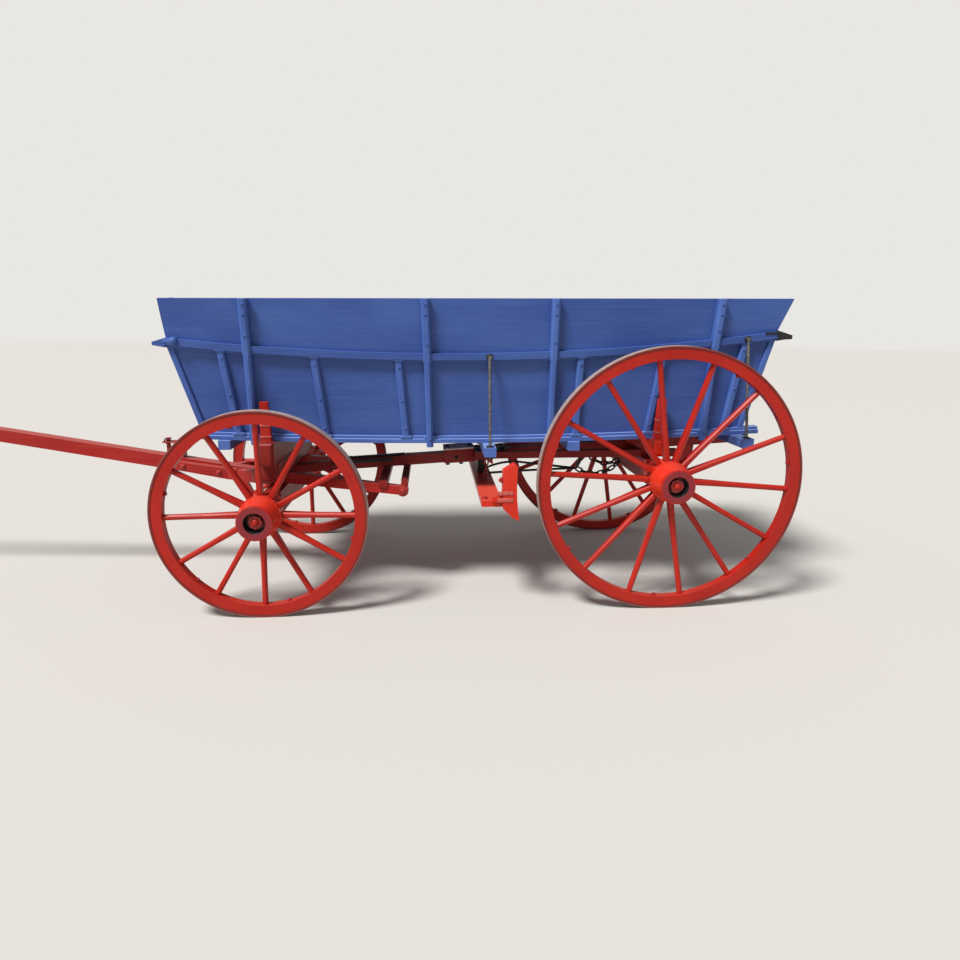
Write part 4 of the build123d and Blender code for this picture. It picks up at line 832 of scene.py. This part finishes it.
def gear_bolts():
    """Bolts with square nuts through hounds, tongue, sliders and brake, each seated by a line."""
    head = together(
        block((34, 34, 3), (0, 0, 1.5)),
        spun([(11, 3), (11, 5), (9.6, 8.4), (6.4, 10.8), (0, 11.6)], 20),
    )
    nut = together(
        block((36, 36, 3), (0, 0, 1.5)),
        block((23, 23, 11), (0, 0, 8.5), 1.6),
        spun([(7, 13), (7, 19), (5.6, 20.4), (0, 20.4)], 16),
    )
    round_head = spun([(24, 0), (24, 3), (22, 4.4), (13, 4.4), (12, 7.4), (8.4, 10.4), (0, 11.6)], 28)

    starts = [(FRONT_X - ahead, -1, tongue_z(ahead)) for ahead in HOUND_BOLTS]
    sides = [seat(["front_hounds"], start, (0, 1, 0)) for start in starts]
    set_out(head, both(sides), "hound_bolts", RED_IRON, "front_gear")
    behind, z = HOUND_TAIL
    tail = seat(["front_hounds"], (FRONT_X + behind, -1, z), (0, 1, 0))
    set_out(round_head, both([tail]), "hound_tail_bolts", RED_IRON, "front_gear")
    for axle, x, low, distances, body in AXLE_NUTS:
        lows = [seat([axle], (x, -y, low), (0, 0, 1)) for y in distances]
        set_out(nut, both(lows), axle + "_nuts", RED_IRON, body)
    tops = []
    for behind in SLIDER_BOLTS:
        y = -SLIDER_BOLT_OUT - (behind - 0.58) * SLIDER_BOLT_SPREAD
        top = seat(["slider_bar"], (FRONT_X + behind, y, ABOVE_GEAR), (0, 0, -1))
        tops.append(top @ Matrix.Scale(SLIDER_BOLT_SIZE, 4))
    set_out(round_head, both(tops), "slider_bolts", RED_IRON, "front_gear")

    shoe = [seat(["brake_shoes"], (1.1, -SHOE_MIDDLE, z), (1, 0, 0)) for z in SHOE_BOLTS]
    set_out(nut, both(shoe), "brake_shoe_nuts", RED_IRON)
    beam = [seat(["brake_beam"], (x, -BEAM_BOLT_OUT, ABOVE_GEAR), (0, 0, -1)) for x in BEAM_BOLTS]
    set_out(head, both(beam), "brake_beam_bolts", RED_IRON)
    strap = block((78, 5, 20), (0, -1.5, 0))
    straps = [at(*SHOE_STRAP_PLACE, z) for z in SHOE_STRAPS]
    set_out(strap, both(straps), "brake_shoe_straps", PALE_RED_IRON)
    place = seat(["front_axle"], (FRONT_X, 0.03, 0.2), (0, 0, 1))
    place.translation.y = 0
    washer = spun([(15.6, 0), (30, 0), (30, 4), (15.6, 4)], 28)
    set_out(washer, [place], "king_pin_washer", BLACK_IRON, "front_gear")


# Sleeve over the reach: its ends in metres; half its width, the height of its cheeks and of their
# middle over the reach's, and the width of its plate in millimetres; and the rows of holes in the
# plate along and across in metres
SLEEVE_START = 1.150
SLEEVE_END = 1.331
SLEEVE_HALF = 62
CHEEK_HIGH = 84
CHEEK_UP = 10
PLATE_WIDTH = 176
HOLE_ROWS_X = (-0.066, -0.022, 0.022, 0.066)
HOLE_ROWS_Y = (-0.070, -0.024, 0.024, 0.070)


def reach_sleeve():
    """Cheeks either side of the reach ahead of the rear hounds, under a perforated iron plate."""
    length = (SLEEVE_END - SLEEVE_START) / MM
    place = on_reach((SLEEVE_START + SLEEVE_END) / 2)
    cheek = block((length, 23, CHEEK_HIGH), (0, -SLEEVE_HALF + 11.8, CHEEK_UP), 2)
    set_out(cheek, both([place]), "reach_sleeve_cheeks", MAROON_LENGTHWISE)

    plate = block((length, PLATE_WIDTH, 8), (0, 0, 0), 1.6)
    hole = spun([(0, -9), (8.5, -9), (8.5, 9), (0, 9)], 20)
    bolts = []
    for x in HOLE_ROWS_X:
        for y in HOLE_ROWS_Y:
            if abs(x) == HOLE_ROWS_X[-1] and abs(y) < HOLE_ROWS_Y[-1]:
                bolts.append((x, y))
                continue
            hole.location = (x, y, 0)
            modified(plate, "BOOLEAN", object=hole, operation="DIFFERENCE", solver="EXACT")
    top = place @ at(0, 0, (CHEEK_UP + CHEEK_HIGH / 2 + 3.8) * MM)
    set_out(plate, [top], "reach_sleeve_plate", GREY_IRON_PAINTED_LIT)

    head = spun([(11, 0), (11, 2), (9.6, 5), (6, 7.2), (0, 8)], 20)
    heads = [top @ at(x, y, 4 * MM) for x, y in bolts]
    turn = Matrix.Rotation(pi / 2, 4, "X")
    heads += both([place @ at(-0.018, (-SLEEVE_HALF + 0.2) * MM, 0) @ turn])
    set_out(head, heads, "reach_sleeve_bolts", BLACK_IRON)
    nut = block((22, 22, 11), (0, 0, -5), 1.6)
    below = place @ at(0, (-SLEEVE_HALF + 12) * MM, (CHEEK_UP - CHEEK_HIGH / 2) * MM)
    nuts = both([below @ at(x, 0, 0) for x in (-0.070, 0.010)])
    set_out(nut, nuts, "reach_sleeve_nuts", BLACK_IRON)

    middle = sum((Vector(corner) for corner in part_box("hound_plate")), Vector()) / 2
    joint = Matrix.Translation(middle) @ Matrix.Rotation(-REACH_SLOPE, 4, "Y")
    heads = [joint @ at(x, y, 4 * MM) for x in (-0.072, 0.072) for y in (-0.060, 0.060)]
    set_out(head, heads, "hound_plate_bolts", BLACK_IRON)


def link(length, width, wire):
    """Forged chain link, long along Z and wide along X."""
    bpy.ops.mesh.primitive_torus_add(
        major_segments=20, minor_segments=8, major_radius=(width - wire) / 2, minor_radius=wire / 2,
        rotation=(pi / 2, 0, 0),
    )
    bpy.ops.object.transform_apply()
    bpy.ops.object.mode_set(mode="EDIT")
    stretch = (length - width) / 2
    for sign in (-1, 1):
        select_by(lambda co: co.z * sign > 0.0001, "verts")
        bpy.ops.transform.translate(value=(0, 0, sign * stretch))
    return finished()


def chain_places(start, end, sag, pitch):
    """Links along a hanging line, each turned a quarter from the last."""
    start, end = Vector(start), Vector(end)
    count = max(2, round(((end - start).length + 2.2 * sag * sag) / pitch))
    points = []
    for i in range(count + 1):
        share = i / count
        points.append(start.lerp(end, share) - Vector((0, 0, 4 * sag * share * (1 - share))))
    places = []
    for i, (a, b) in enumerate(zip(points, points[1:])):
        place = facing((a + b) / 2, b - a, (0, 1, 0))
        places.append(place @ Matrix.Rotation(pi / 2 * (i % 2) + 0.2, 4, "Z"))
    return places


def eye_bolt(radius, wire):
    """Ring on a shank that stands up from its seat."""
    turns = [i * pi / 8 for i in range(15)]
    ring = [(radius * sin(a), 0, radius * 2.4 - radius * cos(a)) for a in turns]
    return together(
        rod([(0, 0, 0)] + ring, wire),
        spun([(wire / MM * 3.2, 0), (wire / MM * 3.2, 2.4), (wire / MM, 3.4)], 16),
    )


# Brake: top of its beam, the hanging chains' eyes above and on the beam, the bends of each rod on
# its way to the lever, where the two rods meet, and the lever's pivot
BEAM_TOP = 0.58877
CHAIN_OUT = 0.225
CHAIN_TOP_X = 1.392
CHAIN_FOOT_X = 1.386
EYE_HIGH = 0.024
ROD_BENDS = {
    "left": [(1.412, 0.075, 0.598), (1.52, 0.070, 0.604), (1.72, 0.03, 0.606)],
    "right": [(1.412, 0.075, 0.598), (1.52, 0.070, 0.646), (1.72, 0.03, 0.630)],
}
RODS_MEET = Vector((1.958, 0, 0.607))
LEVER_X = 2.012
# Release chain, in two lengths: ends and sag
RELEASE_RUNS = [
    (RODS_MEET + Vector((0.006, 0, 0)), (2.237, 0.02, 0.640), 0.052),
    ((2.05, 0.016, 0.676), (2.237, 0.045, 0.652), 0.034),
]
HANGING_PITCH = 0.034
RELEASE_PITCH = 0.036


def brake_gear():
    """Chains that hang the brake beam, the rods to its lever, and the release chain behind it."""
    eye = eye_bolt(9 * MM, 3.6 * MM)
    down = Matrix.Rotation(pi, 4, "X")
    places = []
    links = []
    sill_foot = follow(SILL, CHAIN_TOP_X) - CROSS_SILL_HIGH
    for _, side in SIDES:
        y = side * CHAIN_OUT
        top = at(CHAIN_TOP_X, y, sill_foot)
        foot = at(CHAIN_FOOT_X, y, BEAM_TOP)
        places += [top @ down, foot]
        start = (CHAIN_TOP_X, y, sill_foot - EYE_HIGH)
        links += chain_places(start, (CHAIN_FOOT_X, y, BEAM_TOP + EYE_HIGH), 0, HANGING_PITCH)
    set_out(eye, places, "brake_chain_eyes", RED_IRON)
    one = link(44 * MM, 30 * MM, 9 * MM)
    set_out(one, links, "brake_hanging_chains", RED_IRON)

    still = [Matrix.Identity(4)]
    for name, side in SIDES:
        line = [(x, side * y, z) for x, y, z in ROD_BENDS[name]]
        set_out(rod(line + [RODS_MEET], 7 * MM), still, "brake_rod_" + name, BLACK_IRON)
    lever = block((20, 14, 122), (0, 0, -48), 2)
    top = Vector((LEVER_X, 0.0, reach_bottom(LEVER_X)))
    swing = Matrix.Translation(top) @ Matrix.Rotation(radians(27), 4, "Y")
    set_out(lever, [swing], "brake_lever", BLACK_IRON)
    bracket = block((52, 34, 12), (0, 0, -6), 2)
    level = Matrix.Translation(top) @ Matrix.Rotation(-REACH_SLOPE, 4, "Y")
    set_out(bracket, [level], "brake_lever_bracket", BLACK_IRON)
    one = link(54 * MM, 36 * MM, 11 * MM)
    run = [place for ends in RELEASE_RUNS for place in chain_places(*ends, RELEASE_PITCH)]
    set_out(one, run, "brake_release_chain", BLACK_IRON)


REACH_STRAPS_X = 0.70


def reach_straps():
    """Flat irons along the front of the reach: one on top and one at each side."""
    top = block((440, 46, 7), (0, 0, 33.6), 1.6)
    side = block((360, 5, 22), (-30, -40.6, 14), 1.6)
    place = on_reach(REACH_STRAPS_X)
    set_out(top, [place], "reach_top_strap", BLACK_IRON)
    set_out(side, both([place]), "reach_side_straps", BLACK_IRON)


PIN_AHEAD = 0.685
PIN_RING = 17 * MM


def tongue_fittings():
    """Cap and ring on the doubletree pin's head, and the nut and washer under the tongue."""
    x = FRONT_X - PIN_AHEAD
    head_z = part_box("tongue_irons")[1][2]
    cap = spun([(12.2, 0), (19, 0), (19, 2.4), (16, 5.4), (10, 8), (0, 8.8)], 24)
    turns = [i * pi / 8 for i in range(17)]
    ring = rod([(PIN_RING * cos(a), 0, PIN_RING * sin(a)) for a in turns], 3.2 * MM)
    under = tongue_z(PIN_AHEAD) - tongue_size(PIN_AHEAD)[1] / 2 * MM
    tail = at(x, 0, under - 10 * MM)
    nut = together(
        block((40, 40, 3), (0, 0, 8.0)),
        block((30, 30, 10), (0, 0, 1.2), 1.6),
    )
    set_out(nut, [tail], "doubletree_pin_nut", RED_IRON, "front_gear")
    top = at(x, 0, head_z - 2 * MM)
    set_out(cap, [top], "doubletree_pin_cap", RED_IRON, "front_gear")
    hang = at(x, -16 * MM, head_z - 14 * MM) @ Matrix.Rotation(radians(24), 4, "X")
    set_out(ring, [hang], "doubletree_pin_ring", BLACK_IRON, "front_gear")


# Ends of the box: where a line at each starts and its direction, the boards behind the frame, the
# body, and the heights of the bolts in each batten
ENDS = {
    "front_end": (CLEAR_FRONT, 1, ["lower"], "wagon_body", (0.97, 1.12, 1.27)),
    "tail_gate": (CLEAR_REAR, -1, ["lower", "upper"], "tail_gate", (0.99, 1.14, 1.26, 1.47)),
}
BATTEN_FROM_SIDE = 0.070
UPPER_BOLTS_Y = (-0.36, -0.12, 0.12, 0.36)
UPPER_BOLTS_Z = 1.375
HINGE_SCREWS_Y = (-0.293, -0.267, 0.267, 0.293)
HINGE_SCREWS_Z = 0.928
HINGE_SCREW_SIZE = 0.6


def end_bolts(nut, head):
    """Bolts through the battens of both ends, and the screws of the gate's hinges."""
    for end, (clear, inward, boards, body, heights) in ENDS.items():
        spots = [(side * (side_y(z) - BATTEN_FROM_SIDE), z) for side in (-1, 0, 1) for z in heights]
        outside = [seat([end + "_frame"], (clear, y, z), (inward, 0, 0)) for y, z in spots]
        nodes = [end + "_" + board for board in boards]
        inside = [seat(nodes, (1, y, z), (-inward, 0, 0)) for y, z in spots]
        if end == "front_end":
            starts = [(clear, y, UPPER_BOLTS_Z) for y in UPPER_BOLTS_Y]
            outside += [seat(["front_end_upper"], start, (1, 0, 0)) for start in starts]
        set_out(head, outside, end + "_bolt_heads", BLUE_IRON, body)
        set_out(nut, inside, end + "_bolt_nuts", BLUE_IRON, body)
    screws = []
    for y in HINGE_SCREWS_Y:
        leaf = seat(["gate_hinges"], (CLEAR_REAR, y, HINGE_SCREWS_Z), (-1, 0, 0))
        screws.append(leaf @ Matrix.Scale(HINGE_SCREW_SIZE, 4))
    set_out(head, screws, "gate_hinge_screws", BLACK_IRON, "tail_gate")


HOOK_Z = 1.50
HOOK_FROM_SIDE = 0.045
HOOK_REACH = 0.034


def gate_hooks():
    """Hook and eye at each side that keep the tail gate shut."""
    start = (CLEAR_REAR, -(side_y(HOOK_Z) - HOOK_FROM_SIDE), HOOK_Z)
    gate = seat(["tail_gate_upper"], start, (-1, 0, 0)).to_translation()
    wall = seat(["upper_board_left"], (gate.x + HOOK_REACH, 0, HOOK_Z), (0, -1, 0)).to_translation()
    eye = eye_bolt(8 * MM, 3 * MM)
    place = facing(wall, (0, 1, 0), (1, 0, 0))
    set_out(eye, both([place]), "gate_hook_eyes", BLACK_IRON)
    foot = Vector((gate.x, gate.y, HOOK_Z))
    tip = wall + Vector((0, 0.020, 0))
    line = [foot + Vector(step) for step in ((0, 0, 0), (0.020, 0, 0), (0.028, -0.006, 0.002))]
    line += [tip + Vector(step) for step in ((-0.006, 0.006, 0.012), (0, 0, 0.006), (0.003, -0.001, -0.018))]
    base = spun([(11, 0), (11, 2), (8, 3.2), (0, 3.2)], 20)
    set_out(rod(line, 3.2 * MM), both([Matrix.Identity(4)]), "gate_hooks", BLACK_IRON, "tail_gate")
    set_out(base, both([facing(foot, (1, 0, 0.2))]), "gate_hook_plates", BLACK_IRON, "tail_gate")


# Wheels: hoops on the hub's nose, a black iron lining in its recess that also stands in as
# painted shade there, nuts inside the felloes and a cap on the end of each arm. Local Z points
# outward along the arm, local Y up the wheel.
def wheel_place(wheel):
    joints = frame["record"]["behaviour"]["joints"]
    joint = next(item for item in joints if item["name"] == wheel + "_wheel_spin")
    outward = Vector(joint["axis"])
    side = 1 if outward.y > 0 else -1
    x = Vector((-side, 0, 0))
    turn = Matrix((x, outward.cross(x), outward)).transposed().to_4x4()
    return Matrix.Translation(joint["pos_m"]) @ turn, side


# Profiles along the arm: radius and distance outward from the middle of the tyre, in millimetres
HOOP = [
    (84.0, 106), (86.6, 107.0), (87.0, 108.4), (86.8, 119.8), (85.6, 121.4), (83.0, 121.9),
    (80.0, 121.6), (84.0, 106),
]
LINING = [
    (52.8, 121.8), (50.8, 120.4), (50.4, 73.4), (44, 71.8), (44, 70.6), (52.8, 70.6), (52.8, 121.8),
]
BELT_RING = [(104.2, -13), (105.0, -12), (105.0, -9), (104.2, -8)]
BELT_RING_PITCH = 60 * MM
ARM_CAP = [
    (0, 114.6), (9, 114), (14, 111.6), (15.8, 108), (15.8, 101.4), (21, 101.4), (21, 103.4), (15.9, 104.4),
]
# Felloe nuts of the front and rear wheels: number of spokes, radius, turn of the first spoke
FELLOE_NUTS = {"front": (12, 463.5, 0), "rear": (14, 622.0, 8.8)}


def wheel_fittings():
    hoop = spun(HOOP, 64)
    lining = spun(LINING, 48)
    groove = spun(BELT_RING, 64)
    nut = together(
        block((20, 20, 8), (0, 0, 4), 1.4),
        spun([(5.5, 7), (5.5, 12), (4.4, 13), (0, 13)], 12),
    )
    cap = spun(ARM_CAP, 28)
    for wheel in WHEELS:
        place, side = wheel_place(wheel)
        end = wheel.split("_")[0]
        body = "wheel_" + wheel
        set_out(hoop, [place], "hub_hoop_" + wheel, RED_WHEELS, body)
        # The recess's black lining doubles as painted shade inside the hub's nose
        set_out(lining, [place], "hub_lining_" + wheel, BLACK_IRON, body)
        rings = [place, place @ at(0, 0, -BELT_RING_PITCH)]
        set_out(groove, rings, "hub_belt_rings_" + wheel, RED_WHEELS, body)
        count, radius, first = FELLOE_NUTS[end]
        outward = at(0, radius * MM, 0) @ Matrix.Rotation(pi / 2, 4, "X")
        nuts = []
        for i in range(0, count, 2):
            angle = radians(-side * first + 360 / count * (i + 0.5))
            nuts.append(place @ Matrix.Rotation(angle, 4, "Z") @ outward)
        set_out(nut, nuts, "felloe_nuts_" + wheel, RED_IRON, body)
        carrier = {"front": "front_gear", "rear": "wagon_body"}[end]
        set_out(cap, [place], "arm_cap_" + wheel, RED_WHEELS, carrier)


nut_master, head_master = box_bolts()
chamfer_stops()
tie_rod_fittings()
horn_irons()
gear_bands()
stake_clips()
gear_bolts()
reach_sleeve()
brake_gear()
reach_straps()
tongue_fittings()
end_bolts(nut_master, head_master)
gate_hooks()
wheel_fittings()
for master in MASTERS:
    bpy.data.objects.remove(master)


# Camera at the photograph's place and angle, as fitted to the four wheels in it
CAMERA_PLACE = (1.0743, -3.936, 1.448)
CAMERA_TURN = radians(4.286)
CAMERA_DIP = radians(10.737)
CAMERA_ROLL = radians(0.478)
LENS = 24.885
FRAME_SHIFT = -0.0273


def add_camera():
    data = bpy.data.cameras.new("camera")
    data.lens = LENS
    data.shift_y = FRAME_SHIFT
    camera = new_object("camera", data)
    turn = Matrix.Rotation(-CAMERA_TURN, 4, "Z")
    dip = Matrix.Rotation(pi / 2 - CAMERA_DIP, 4, "X")
    roll = Matrix.Rotation(CAMERA_ROLL, 4, "Z")
    camera.matrix_world = Matrix.Translation(CAMERA_PLACE) @ turn @ dip @ roll
    bpy.context.scene.camera = camera


# Studio: a soft sun from the upper near front, an even pale surround and a pale floor
FLOOR_RADIUS = 60.0
KEY_STRENGTH = 4.5
KEY_SPREAD = radians(14)
KEY_TURN = (radians(35), 0, radians(-49))
SURROUND = 0.36
FLOOR_COLOUR = "#C0BCB6"
BACKDROP_COLOUR = "#E9E7E3"


def add_studio():
    bpy.ops.mesh.primitive_circle_add(vertices=96, radius=FLOOR_RADIUS, fill_type="NGON", location=(0, 0, 0))
    floor = bpy.context.object
    floor.name = "studio_floor"
    material, tree = empty_material("pale_studio_floor")
    flat = add_node(tree, "ShaderNodeNewGeometry").outputs["Normal"]
    surface(tree, hex_colour(FLOOR_COLOUR), 0.9, flat)
    floor.data.materials.append(material)

    sun = bpy.data.lights.new("key_light", "SUN")
    sun.energy = KEY_STRENGTH
    sun.angle = KEY_SPREAD
    new_object("key_light", sun).rotation_euler = KEY_TURN

    world = bpy.data.worlds.new("studio")
    bpy.context.scene.world = world
    world.use_nodes = True
    tree = world.node_tree
    tree.nodes.clear()
    path = add_node(tree, "ShaderNodeLightPath")
    light = add_node(tree, "ShaderNodeBackground", {"Color": hex_colour("#FFFFFF"), "Strength": SURROUND})
    seen = {"Color": hex_colour(BACKDROP_COLOUR), "Strength": 1.0}
    backdrop = add_node(tree, "ShaderNodeBackground", seen)
    inputs = {0: path.outputs["Is Camera Ray"], 1: light.outputs[0], 2: backdrop.outputs[0]}
    mix = add_node(tree, "ShaderNodeMixShader", inputs)
    out = add_node(tree, "ShaderNodeOutputWorld")
    tree.links.new(mix.outputs[0], out.inputs["Surface"])


add_camera()
add_studio()
bpy.context.scene.view_settings.view_transform = "Standard"
